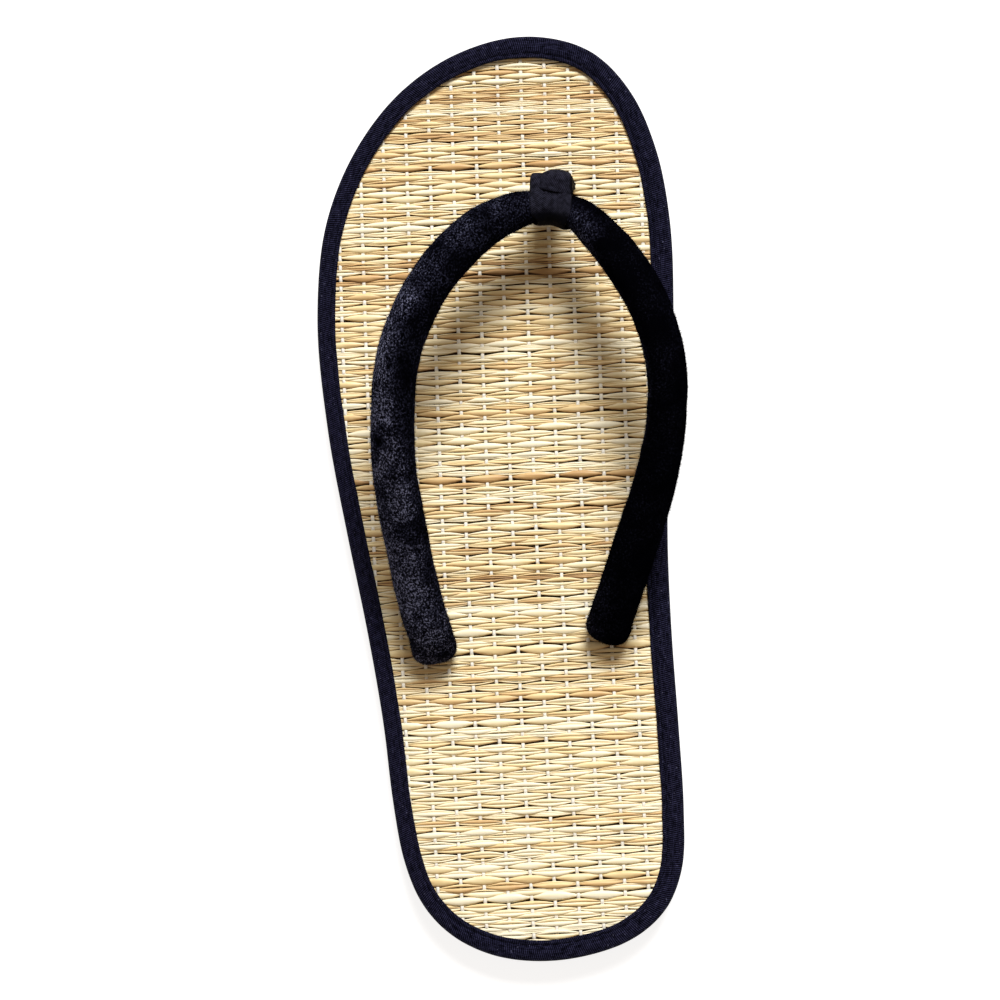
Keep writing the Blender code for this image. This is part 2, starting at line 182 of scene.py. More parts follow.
class ShaderSheet(NodeSheet):
    """One material and its node tree, with short ways to add patterns."""

    PREFIX = "ShaderNode"

    def __init__(self, name: str) -> None:
        """Makes a material of this name with a Principled shader."""
        self.material = bpy.data.materials.new(name)
        self.material.use_nodes = True
        super().__init__(self.material.node_tree)
        self.shader = self.tree.nodes["Principled BSDF"]

    def set(self, **values: Any) -> None:
        """Sets the shader's own sockets: sheen_weight sets Sheen Weight, and so on."""
        sockets = {socket.name.lower().replace(" ", "_"): socket for socket in self.shader.inputs}
        for name, value in values.items():
            sockets[name].default_value = value

    def join(self, socket: Any, name: str) -> None:
        """Joins a socket to one of the shader's inputs."""
        self.tree.links.new(socket, self.shader.inputs[name])

    def place(self, cover: Cover, scale: Sequence[float], turn: float = 0.0) -> Any:
        """Scaled texture coordinates, turned about Z in degrees."""
        coordinates = self.add("TexCoord").outputs[cover.value]
        inputs = {"Vector": coordinates, "Scale": scale, "Rotation": (0, 0, math.radians(turn))}
        return self.add("Mapping", inputs).outputs["Vector"]

    def noise(
        self, cover: Cover, scale: Sequence[float], detail: float = 2.0, rough: float = 0.5
    ) -> Any:
        """Noise with this many grains to the metre along each axis."""
        inputs = {"Vector": self.place(cover, scale), "Detail": detail, "Roughness": rough}
        inputs["Scale"] = 1.0
        return self.add("TexNoise", inputs).outputs["Fac"]

    def ribs(self, cover: Cover, pitch: float, turn: float = 0.0, wander: float = 0.0) -> Any:
        """Parallel ribs across the X axis, this far apart."""
        vector = self.place(cover, (1.0, 1.0, 1.0), turn)
        inputs = {"Vector": vector, "Scale": math.pi / 10.0 / pitch, "Distortion": wander}
        return self.add("TexWave", inputs).outputs["Fac"]

    def math(self, operation: str, first: Any, second: Any = 0.0, third: Any = 0.0) -> Any:
        """A sum, product or other operation on sockets or numbers."""
        node = self.add("Math", {0: first, 1: second, 2: third}, operation=operation)
        return node.outputs["Value"]

    def centred(self, value: Any, amount: float) -> Any:
        """A value of 0 to 1, made to run over this amount about 0."""
        return self.math("MULTIPLY_ADD", value, amount, -amount / 2)

    def attribute(self, name: str) -> Any:
        """The mesh attribute of this name, as a number."""
        return self.add("Attribute", attribute_name=name).outputs["Fac"]

    def ramp(self, fac: Any, stops: Sequence[tuple[float, Colour]]) -> Any:
        """A colour ramp through stops of position and colour."""
        node = self.add("ValToRGB", {"Fac": fac})
        marks = node.color_ramp.elements
        while len(marks) < len(stops):
            marks.new(1.0)
        for mark, (position, colour) in zip(marks, stops):
            mark.position = position
            mark.color = (*colour, 1.0)
        return node.outputs["Color"]

    def paint(
        self, fac: Any, stops: Sequence[tuple[float, Colour]], roughness: float, specular: float = 0.5
    ) -> None:
        """Colours the shader by a ramp, and sets how rough and how specular it is."""
        self.join(self.ramp(fac, stops), "Base Color")
        self.set(roughness=roughness, specular_ior_level=specular)

    def bump(self, height: Any, distance: float, strength: float = 1.0) -> None:
        """Adds a bump of this height in metres over any bump already there."""
        inputs = {"Height": height, "Distance": distance, "Strength": strength}
        before = self.shader.inputs["Normal"]
        if before.is_linked:
            inputs["Normal"] = before.links[0].from_socket
        self.join(self.add("Bump", inputs).outputs["Normal"], "Normal")


class Finish:
    """A surface that is laid on a material's sheet.

    In every finish a field named grain gives noise grains to the metre along X, Y and Z, and one
    named relief gives the depth of a bump.
    """

    NAME = ""

    def make(self) -> bpy.types.Material:
        """The finish as a material."""
        sheet = ShaderSheet(self.NAME)
        self.lay(sheet)
        return sheet.material

    def lay(self, sheet: ShaderSheet) -> None:
        """Lays the finish on a sheet."""
        raise NotImplementedError


@dataclass(frozen=True)
class RushStraw(Finish):
    """Dried rush stems, with fine lengthwise fibres and a satin surface.

    The mesh's tone attribute runs from 0, cream, to 1, brown. Painted light and shade: sides facing
    the toe, where the key light stands, are painted paler and sides facing the heel browner, most of
    all in the creases by the ties, where the crease attribute is 1.

    Attributes:
        cream: Colour of the lowest tone, followed by those of higher ones; the darkest, dusk, is also
            the colour of the painted shade in the creases.
        fibre_spread: How much a fibre's tone may differ.
        patch_spread: How much a patch's tone may differ.
        painted_side_shading: Painted light and shade: how much paler a toe-facing side is, and browner
            a heel-facing one.
        crease_browning: Painted shade: how much browner still a heel side is in the creases by the
            ties.
        strength: Share of the tone that shows.
    """

    NAME = "rush_straw"
    cream: Colour = (0.93, 0.85, 0.62)
    straw: Colour = (0.83, 0.66, 0.34)
    tan: Colour = (0.58, 0.35, 0.14)
    brown: Colour = (0.22, 0.11, 0.035)
    dusk: Colour = (0.035, 0.014, 0.004)
    fibre_grain: Triple = (90.0, 3000.0, 3000.0)
    patch_grain: Triple = (70.0, 420.0, 420.0)
    relief: float = 0.06 * MM
    fibre_spread: float = 0.34
    patch_spread: float = 0.66
    painted_side_shading: float = 0.17
    crease_browning: float = 0.75
    strength: float = 0.75

    def lay(self, sheet: ShaderSheet) -> None:
        """Lays the finish on a sheet."""
        fibre = sheet.noise(Cover.SOLID, self.fibre_grain, detail=3.0, rough=0.6)
        patch = sheet.noise(Cover.SOLID, self.patch_grain)
        mottle = sheet.math(
            "ADD", sheet.centred(fibre, self.fibre_spread), sheet.centred(patch, self.patch_spread)
        )
        tone = sheet.math("ADD", sheet.attribute("tone"), mottle)
        # Painted light and shade: paler where the surface faces the toe and the key light, browner
        # where it faces the heel, browner still in the creases by the ties.
        facing = sheet.add("SeparateXYZ", {0: sheet.add("NewGeometry").outputs["Normal"]})
        tone = sheet.math("MULTIPLY_ADD", facing.outputs["Y"], -self.painted_side_shading, tone)
        heel_side = sheet.math("MAXIMUM", sheet.math("MULTIPLY", facing.outputs["Y"], -1.0), 0.0)
        crease = sheet.math("MULTIPLY", heel_side, sheet.attribute("crease"))
        tone = sheet.math("MULTIPLY_ADD", crease, self.crease_browning, tone)
        stops = (
            (0.015, self.cream),
            (0.26, self.straw),
            (0.51, self.tan),
            (0.72, self.brown),
            (1.0, self.dusk),
        )
        tone = sheet.math("MULTIPLY", tone, self.strength)
        sheet.paint(tone, stops, roughness=0.46, specular=0.45)
        sheet.bump(fibre, self.relief, strength=0.7)


@dataclass(frozen=True)
class MatGroundShade(Finish):
    """What shows in the gaps between stems: a dark brown, painted as the shade deep in the gaps, with
    a paler grain of dust.
    """

    NAME = "mat_ground"
    colour: Colour = (0.040, 0.020, 0.008)
    paler: float = 1.8
    grain: Triple = (200.0, 1800.0, 1800.0)
    relief: float = 0.1 * MM

    def lay(self, sheet: ShaderSheet) -> None:
        """Lays the finish on a sheet."""
        grain = sheet.noise(Cover.SOLID, self.grain, detail=3.0)
        lighter = tuple(self.paler * part for part in self.colour)
        sheet.paint(grain, ((0.3, self.colour), (0.8, lighter)), roughness=0.9)
        sheet.bump(grain, self.relief)


@dataclass(frozen=True)
class WarpCotton(Finish):
    """White cotton thread of the mat's warp."""

    NAME = "warp_cotton"
    colour: Colour = (0.94, 0.90, 0.79)
    darker: float = 0.82
    twist_grain: Triple = (2500.0, 900.0, 2500.0)
    relief: float = 0.05 * MM

    def lay(self, sheet: ShaderSheet) -> None:
        """Lays the finish on a sheet."""
        twist = sheet.noise(Cover.SOLID, self.twist_grain)
        shaded = tuple(self.darker * part for part in self.colour)
        sheet.paint(twist, ((0.3, shaded), (0.6, self.colour)), roughness=0.85)
        sheet.bump(twist, self.relief)


@dataclass(frozen=True)
class RibbedTape(Finish):
    """Navy black cotton tape with ribs across its width."""

    NAME = "ribbed_tape"
    dark: Colour = (0.0006, 0.0006, 0.0026)
    light: Colour = (0.036, 0.036, 0.084)
    lint: Colour = (0.075, 0.075, 0.130)
    rib_pitch: float = 0.56 * MM
    rib_slant: float = 16.0
    wear_grain: Triple = (420.0, 1500.0, 1500.0)
    lint_grain: Triple = (1100.0, 1100.0, 1100.0)
    lint_above: float = 0.725
    relief: float = 0.24 * MM

    def lay(self, sheet: ShaderSheet) -> None:
        """Lays the finish on a sheet."""
        ribs = sheet.ribs(Cover.SURFACE, self.rib_pitch, self.rib_slant, 0.6)
        threads = sheet.ribs(Cover.SURFACE, 0.6 * self.rib_pitch, 90.0, 0.4)
        wear = sheet.noise(Cover.SURFACE, self.wear_grain, detail=4.0, rough=0.75)
        weave = sheet.math("MULTIPLY_ADD", threads, 0.35, ribs)
        worn = sheet.math("MULTIPLY_ADD", wear, 2.4, -0.75)
        shade = sheet.math("MULTIPLY", sheet.math("MULTIPLY_ADD", weave, 0.75, -0.04), worn)
        lint = sheet.noise(Cover.SURFACE, self.lint_grain, detail=1.0)
        shade = sheet.math("ADD", shade, sheet.math("GREATER_THAN", lint, self.lint_above))
        stops = ((0.05, self.dark), (0.62, self.light), (1.0, self.lint))
        sheet.paint(shade, stops, roughness=0.6, specular=0.02)
        sheet.bump(weave, self.relief)


@dataclass(frozen=True)
class CrushedVelvet(Finish):
    """Black crushed velvet; pale specks painted in its base colour, where the painted_glint attribute
    is high, stand for the pile's sheen.
    """

    NAME = "crushed_velvet"
    deep: Colour = (0.0006, 0.0006, 0.0012)
    laid: Colour = (0.022, 0.023, 0.042)
    glint: Colour = (0.145, 0.152, 0.230)
    speck_grain: Triple = (2000.0, 1600.0, 2000.0)
    speck_gain: float = 6.4
    speck_start: float = -3.05
    relief: float = 0.25 * MM

    def lay(self, sheet: ShaderSheet) -> None:
        """Lays the finish on a sheet."""
        # Painted glint: speck noise times the painted_glint attribute lifts the base colour from deep
        # through laid to glint.
        speck = sheet.noise(Cover.SOLID, self.speck_grain, rough=0.8)
        glint = sheet.math("MULTIPLY_ADD", speck, self.speck_gain, self.speck_start)
        glint = sheet.math("MULTIPLY", glint, sheet.attribute("painted_glint"))
        stops = ((0.02, self.deep), (0.35, self.laid), (0.95, self.glint))
        sheet.paint(glint, stops, roughness=0.95, specular=0.0)
        sheet.bump(speck, self.relief, strength=0.9)


@dataclass(frozen=True)
class BlackTwill(Finish):
    """Black cotton twill: fine diagonal wales, darker where a shaded attribute says so."""

    NAME = "black_twill"
    dark: Colour = (0.0015, 0.0015, 0.003)
    light: Colour = (0.023, 0.023, 0.038)
    wale_pitch: float = 0.42 * MM
    wale_slant: float = 52.0
    fuzz_grain: Triple = (900.0, 900.0, 900.0)
    relief: float = 0.14 * MM

    def lay(self, sheet: ShaderSheet) -> None:
        """Lays the finish on a sheet."""
        wales = sheet.ribs(Cover.SURFACE, self.wale_pitch, self.wale_slant, 0.8)
        fuzz = sheet.noise(Cover.SOLID, self.fuzz_grain, detail=3.0)
        shade = sheet.math("MULTIPLY", sheet.math("MULTIPLY_ADD", wales, 0.5, 0.4), fuzz)
        shade = sheet.math("MULTIPLY", shade, sheet.math("SUBTRACT", 1.0, sheet.attribute("shaded")))
        sheet.paint(shade, ((0.15, self.dark), (0.52, self.light)), roughness=0.6, specular=0.02)
        sheet.bump(wales, self.relief)


@dataclass(frozen=True)
class FoamRubber(Finish):
    """Matt black foam rubber: a fine pebbled skin, with the lines of a cut sheet round its side."""

    NAME = "foam_rubber"
    colour: Colour = (0.013, 0.013, 0.015)
    paler: float = 1.9
    pebble_grain: Triple = (1900.0, 1900.0, 1900.0)
    line_grain: Triple = (70.0, 70.0, 2200.0)
    dust_grain: Triple = (60.0, 60.0, 60.0)
    pebble_relief: float = 0.12 * MM
    line_relief: float = 0.10 * MM

    def lay(self, sheet: ShaderSheet) -> None:
        """Lays the finish on a sheet."""
        pebble = sheet.noise(Cover.SOLID, self.pebble_grain)
        lines = sheet.noise(Cover.SOLID, self.line_grain, detail=3.0)
        dust = sheet.noise(Cover.SOLID, self.dust_grain, detail=4.0)
        lighter = tuple(self.paler * part for part in self.colour)
        shade = sheet.math("MULTIPLY_ADD", lines, 0.5, sheet.math("MULTIPLY", dust, 0.5))
        sheet.paint(shade, ((0.38, self.colour), (0.66, lighter)), roughness=0.7, specular=0.15)
        sheet.bump(pebble, self.pebble_relief, strength=0.6)
        sheet.bump(lines, self.line_relief, strength=0.6)


@dataclass(frozen=True)
class StudioPaper(Finish):
    """Plain pale floor."""

    NAME = "studio_paper"
    colour: Colour = (0.45, 0.45, 0.45)
    glow: float = 0.82

    def lay(self, sheet: ShaderSheet) -> None:
        """Lays the finish on a sheet."""
        sheet.set(base_color=(*self.colour, 1.0), roughness=0.9, specular_ior_level=0.0)
        sheet.set(emission_color=(1.0, 1.0, 1.0, 1.0), emission_strength=self.glow)


class GeometrySheet(NodeSheet):
    """One geometry node tree with named inputs, and short ways to end it."""

    def __init__(self, name: str, **inputs: str) -> None:
        """Starts a tree with a geometry input and output, and inputs named with their kinds."""
        super().__init__(bpy.data.node_groups.new(name, "GeometryNodeTree"))
        face = self.tree.interface
        face.new_socket("Geometry", in_out="INPUT", socket_type="NodeSocketGeometry")
        for label, kind in inputs.items():
            face.new_socket(label, in_out="INPUT", socket_type="NodeSocket" + kind)
        face.new_socket("Geometry", in_out="OUTPUT", socket_type="NodeSocketGeometry")
        self.inputs = self.tree.nodes.new("NodeGroupInput").outputs
        self.output = self.tree.nodes.new("NodeGroupOutput")

    def named(self, name: str) -> Any:
        """A stored attribute, by its name."""
        node = self.add("GeometryNodeInputNamedAttribute", {"Name": name}, data_type="FLOAT")
        return node.outputs["Attribute"]

    def vector(self, operation: str, first: Any, second: Any) -> Any:
        """An operation on two vectors."""
        node = self.add("ShaderNodeVectorMath", {0: first, 1: second}, operation=operation)
        return node.outputs["Vector"]

    def scatter(self, points: Any, piece: Any, towards: Any, axis: str, size: Sequence[str]) -> Any:
        """Puts a piece at every point.

        Args:
            points: The points.
            piece: The piece's mesh.
            towards: The way that the piece's axis is turned.
            axis: That axis.
            size: Names of the tree's inputs with the piece's size along X, Y and Z.

        Returns:
            The instances.
        """
        turned = self.add("FunctionNodeAlignRotationToVector", {"Vector": towards}, axis=axis)
        sizes = {letter: self.inputs[name] for letter, name in zip("XYZ", size)}
        inputs = {
            "Points": points,
            "Instance": piece,
            "Rotation": turned.outputs["Rotation"],
            "Scale": self.add("ShaderNodeCombineXYZ", sizes).outputs["Vector"],
        }
        return self.add("GeometryNodeInstanceOnPoints", inputs).outputs["Instances"]

    def finish(self, geometry: Any) -> bpy.types.NodeTree:
        """Ends the tree with smooth shading, real instances and the Material input."""
        real = self.add("GeometryNodeRealizeInstances", {"Geometry": geometry})
        smooth = self.add("GeometryNodeSetShadeSmooth", {"Geometry": real.outputs["Geometry"]})
        inputs = {"Geometry": smooth.outputs["Geometry"], "Material": self.inputs["Material"]}
        dressed = self.add("GeometryNodeSetMaterial", inputs)
        self.tree.links.new(dressed.outputs["Geometry"], self.output.inputs["Geometry"])
        return self.tree


def bake(obj: bpy.types.Object, tree: bpy.types.NodeTree, **values: Any) -> bpy.types.Object:
    """Runs a geometry node tree on an object and keeps the result as its plain mesh.

    Args:
        obj: The object that the tree works on.
        tree: The tree.
        values: The tree's inputs by name.

    Returns:
        The same object.
    """
    modifier = obj.modifiers.new(tree.name, "NODES")
    modifier.node_group = tree
    for item in tree.interface.items_tree:
        if item.name in values:
            modifier[item.identifier] = values[item.name]
    obj.update_tag()
    bpy.context.view_layer.update()
    evaluated = obj.evaluated_get(bpy.context.evaluated_depsgraph_get())
    mesh = bpy.data.meshes.new_from_object(evaluated)
    obj.modifiers.clear()
    obj.data = mesh
    return obj


def new_object(name: str, data: bpy.types.ID) -> bpy.types.Object:
    """Links a new object of this mesh, camera or light to the scene."""
    obj = bpy.data.objects.new(name, data)
    bpy.context.scene.collection.objects.link(obj)
    return obj


def store(mesh: bpy.types.Mesh, label: str, values: np.ndarray) -> None:
    """Stores one number for each point of a mesh."""
    mesh.attributes.new(label, "FLOAT", "POINT").data.foreach_set("value", values.ravel())


def threads(name: str, runs: Iterable[dict[str, np.ndarray]]) -> bpy.types.Object:
    """A mesh of loose edges, one chain for each run, with the runs' attributes on its points.

    Args:
        name: The object's name.
        runs: For each chain its places, and one array for each attribute.

    Returns:
        The object.
    """
    runs = list(runs)
    places = np.concatenate([run["place"] for run in runs])
    edges = []
    start = 0
    for run in runs:
        count = len(run["place"])
        edges += [(start + i, start + i + 1) for i in range(count - 1)]
        start += count
    mesh = bpy.data.meshes.new(name)
    mesh.from_pydata(places.tolist(), edges, [])
    for label in runs[0]:
        if label != "place":
            store(mesh, label, np.concatenate([run[label] for run in runs]))
    return new_object(name, mesh)


@dataclass
class Loft:
    """A closed skin through rings of points, with UVs in metres.

    Attributes:
        rings: Array of rings, points and coordinates.
        wrapped: Whether the last ring joins the first, instead of both being capped.
        caps: The faces of a cap, as places in a ring; one face when empty.
    """

    rings: np.ndarray
    wrapped: bool = False
    caps: Sequence[Sequence[int]] = ()

    def build(self, name: str, material: bpy.types.Material) -> bpy.types.Object:
        """Makes the skin.

        Args:
            name: The object's name.
            material: Its finish.

        Returns:
            The object.
        """
        count, sides, _ = self.rings.shape
        spans = count if self.wrapped else count - 1
        i, j = np.meshgrid(np.arange(spans), np.arange(sides), indexing="ij")
        i, j = i.ravel(), j.ravel()
        far, beside = (i + 1) % count, (j + 1) % sides
        faces = np.stack([i * sides + j, i * sides + beside, far * sides + beside, far * sides + j], 1)
        faces = faces.tolist()
        closed = np.concatenate([self.rings, self.rings[:1]]) if self.wrapped else self.rings
        run = travelled(closed.mean(axis=1))
        widest = self.rings[count // 2]
        around = travelled(np.concatenate([widest, widest[:1]]))
        corner_run = np.stack([run[i], run[i], run[i + 1], run[i + 1]], 1).ravel()
        corner_around = np.stack([around[j], around[j + 1], around[j + 1], around[j]], 1).ravel()
        if not self.wrapped:
            last = (count - 1) * sides
            for cap in self.caps or (range(sides),):
                cap = list(cap)
                faces += [cap[::-1], [last + corner for corner in cap]]
                ends = [np.full(len(cap), run[end]) for end in (0, -1)]
                corner_run = np.concatenate([corner_run, *ends])
                corner_around = np.concatenate([corner_around, around[cap[::-1]], around[cap]])
        mesh = bpy.data.meshes.new(name)
        mesh.from_pydata(self.rings.reshape(-1, 3).tolist(), [], faces)
        layer = mesh.uv_layers.new(name="UVMap")
        layer.data.foreach_set("uv", np.stack([corner_run, corner_around], 1).ravel())
        mesh.materials.append(material)
        turn_out(mesh)
        mesh.shade_smooth()
        return new_object(name, mesh)


def turn_out(mesh: bpy.types.Mesh) -> None:
    """Turns the faces of a closed mesh outwards, if its volume says that they point inwards."""
    mesh.calc_loop_triangles()
    corners = np.empty(len(mesh.loop_triangles) * 3, np.int32)
    mesh.loop_triangles.foreach_get("vertices", corners)
    points = np.empty(len(mesh.vertices) * 3)
    mesh.vertices.foreach_get("co", points)
    a, b, c = points.reshape(-1, 3)[corners.reshape(-1, 3)].transpose(1, 0, 2)
    if np.einsum("ij,ij->", a, np.cross(b, c)) < 0:
        mesh.flip_normals()


def settle(obj: bpy.types.Object, slot: Slot, *replaced: str) -> bpy.types.Object:
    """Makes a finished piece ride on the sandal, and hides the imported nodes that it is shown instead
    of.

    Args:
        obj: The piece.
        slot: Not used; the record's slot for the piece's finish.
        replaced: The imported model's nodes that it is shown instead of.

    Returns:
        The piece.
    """
    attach(obj, "root")
    if replaced:
        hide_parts(*replaced)
    LOG.info("%s: %d faces", obj.name, len(obj.data.polygons))
    return obj


def plan_points(node: str) -> tuple[np.ndarray, np.ndarray]:
    """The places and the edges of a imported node's mesh."""
    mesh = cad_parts[node].data
    places = np.empty(len(mesh.vertices) * 3)
    mesh.vertices.foreach_get("co", places)
    edges = np.empty(len(mesh.edges) * 2, np.int32)
    mesh.edges.foreach_get("vertices", edges)
    return places.reshape(-1, 3), edges.reshape(-1, 2)


class SoleForm:
    """Plan and spring of the sole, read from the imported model.

    Attributes:
        outline: Its outline in plan, which runs anticlockwise.
        normals: The way outwards at each point of the outline.
        spring_y: Where along Y the spring was read.
        spring_z: How far it raises the sole there.
        tape_bottom: Height of the tape's underside, where the sole lies flat.
        tape_top: Height of the tape's top there.
    """

    # How far from its middle the sole surely lies flat.
    FLAT_REACH = 30 * MM
    # Share of its thickness above which a point belongs to its top.
    TOP_SHARE = 0.97

    def __init__(self, steps: int = 840, rays: int = 1440, softness: float = 2.0 * MM) -> None:
        """Reads the binding's outer edge and the outsole's top.

        Args:
            steps: How many points the outline gets.
            rays: How many directions the edge is looked for in.
            softness: How far the outline's small corners are smoothed.
        """
        places, _ = plan_points("outsole")
        low, high = self.flat_span(places)
        top = places[places[:, 2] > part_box("outsole")[0].z + self.TOP_SHARE * (high - low)]
        order = np.argsort(top[:, 1])
        self.spring_y = top[order, 1]
        self.spring_z = top[order, 2] - top[:, 2].min()
        places, edges = plan_points("binding")
        self.tape_bottom, self.tape_top = self.flat_span(places)
        self.outline = self.edge_seen_from_above(places[:, :2], edges, steps, rays, softness)
        ahead = np.roll(self.outline, -1, axis=0) - np.roll(self.outline, 1, axis=0)
        self.normals = np.stack([ahead[:, 1], -ahead[:, 0]], axis=1)
        self.normals /= np.linalg.norm(self.normals, axis=1)[:, None]

    def flat_span(self, places: np.ndarray) -> tuple[float, float]:
        """Lowest and highest Z of a piece, where the sole lies flat on the floor."""
        heights = places[np.abs(places[:, 1]) < self.FLAT_REACH, 2]
        return float(heights.min()), float(heights.max())

    @staticmethod
    def edge_seen_from_above(
        plan: np.ndarray, edges: np.ndarray, steps: int, rays: int, softness: float
    ) -> np.ndarray:
        """Outer edge of a mesh in plan, as evenly spaced points that run anticlockwise."""
        reaches = []
        for angle in np.arange(rays) * 2 * math.pi / rays:
            ray = np.array([math.cos(angle), math.sin(angle)])
            aside = plan @ np.array([-ray[1], ray[0]])
            first, second = aside[edges[:, 0]], aside[edges[:, 1]]
            crossed = (first <= 0) != (second <= 0)
            a, b = plan[edges[crossed, 0]], plan[edges[crossed, 1]]
            share = first[crossed] / (first[crossed] - second[crossed])
            hits = a + share[:, None] * (b - a)
            reaches.append(ray * (hits @ ray).max())
        ring = np.array(reaches)
        length = travelled(np.vstack([ring, ring[:1]]))
        even = np.linspace(0.0, length[-1], steps, endpoint=False)
        ring = columns_at(even, length, np.vstack([ring, ring[:1]]))
        reach = int(3 * softness / (length[-1] / steps))
        offsets = np.arange(-reach, reach + 1)
        weights = np.exp(-0.5 * (offsets * length[-1] / steps / softness) ** 2)
        weights /= weights.sum()
        return sum(weight * np.roll(ring, offset, axis=0) for weight, offset in zip(weights, offsets))

    def lift(self, y: np.ndarray) -> np.ndarray:
        """How far the sole's spring raises it at this Y."""
        return np.interp(y, self.spring_y, self.spring_z)

    def inset(self, distance: np.ndarray | float) -> np.ndarray:
        """The outline moved inwards by a length, or by one for each point."""
        return self.outline - self.normals * np.reshape(distance, (-1, 1))

    def sides(self, y: np.ndarray, distance: float) -> tuple[np.ndarray, np.ndarray]:
        """Lowest and highest X of the inset outline at each Y."""
        ring = self.inset(distance)
        found = []
        for side in (-1, 1):
            half = ring[self.normals[:, 0] * side > 0]
            half = half[np.argsort(half[:, 1])]
            found.append(np.interp(y, half[:, 1], half[:, 0], left=0.0, right=0.0))
        return found[0], found[1]

    def depth_inside(self, plan: np.ndarray) -> np.ndarray:
        """Distance of each point in plan from the outline."""
        found = []
        for part in np.array_split(plan, max(1, len(plan) // 2000)):
            apart = part[:, None, :] - self.outline[None, ::2, :]
            found.append(np.sqrt((apart**2).sum(axis=2)).min(axis=1))
        return np.concatenate(found)


# Run of the strap above the footbed. along is a share of the sole's length from the heel, side
# of the ball's width, rise of the strap's height, lean is how far its outer edge turns down in
# degrees, and width and depth are shares of the padded roll's own.
STRAP_RUN = (
    # along, side, rise, lean, width, depth
    (0.338, -0.185, 0.09, 0, 0.97, 0.95),
    (0.350, -0.188, 0.22, 2, 1.00, 1.00),
    (0.394, -0.215, 0.41, 8, 1.00, 1.00),
    (0.459, -0.243, 0.62, 16, 1.01, 1.00),
    (0.523, -0.266, 0.80, 22, 1.01, 1.00),
    (0.585, -0.269, 0.93, 25, 1.00, 1.00),
    (0.647, -0.252, 1.00, 25, 0.99, 1.00),
    (0.710, -0.192, 0.98, 24, 1.00, 1.00),
    (0.753, -0.118, 0.90, 22, 1.01, 1.00),
    (0.789, -0.024, 0.75, 20, 0.95, 0.96),
    (0.809, 0.085, 0.58, 20, 0.76, 0.82),
    (0.812, 0.151, 0.52, 20, 0.60, 0.72),
    (0.804, 0.213, 0.58, 22, 0.71, 0.82),
    (0.777, 0.291, 0.75, 28, 0.87, 0.96),
    (0.732, 0.381, 0.90, 38, 0.97, 1.00),
    (0.689, 0.436, 0.96, 46, 0.97, 1.00),
    (0.637, 0.468, 0.96, 50, 0.95, 1.00),
    (0.585, 0.467, 0.88, 48, 0.95, 1.00),
    (0.523, 0.438, 0.74, 36, 0.98, 1.00),
    (0.459, 0.385, 0.56, 22, 1.00, 1.00),
    (0.400, 0.333, 0.34, 10, 1.00, 1.00),
    (0.374, 0.309, 0.21, 3, 1.00, 1.00),
    (0.361, 0.299, 0.09, 0, 0.97, 0.95),
)
# The knot's row in this table, and the rows that each tail adds before it.
KNOT_ROW = 11
TAIL_ROWS = 2


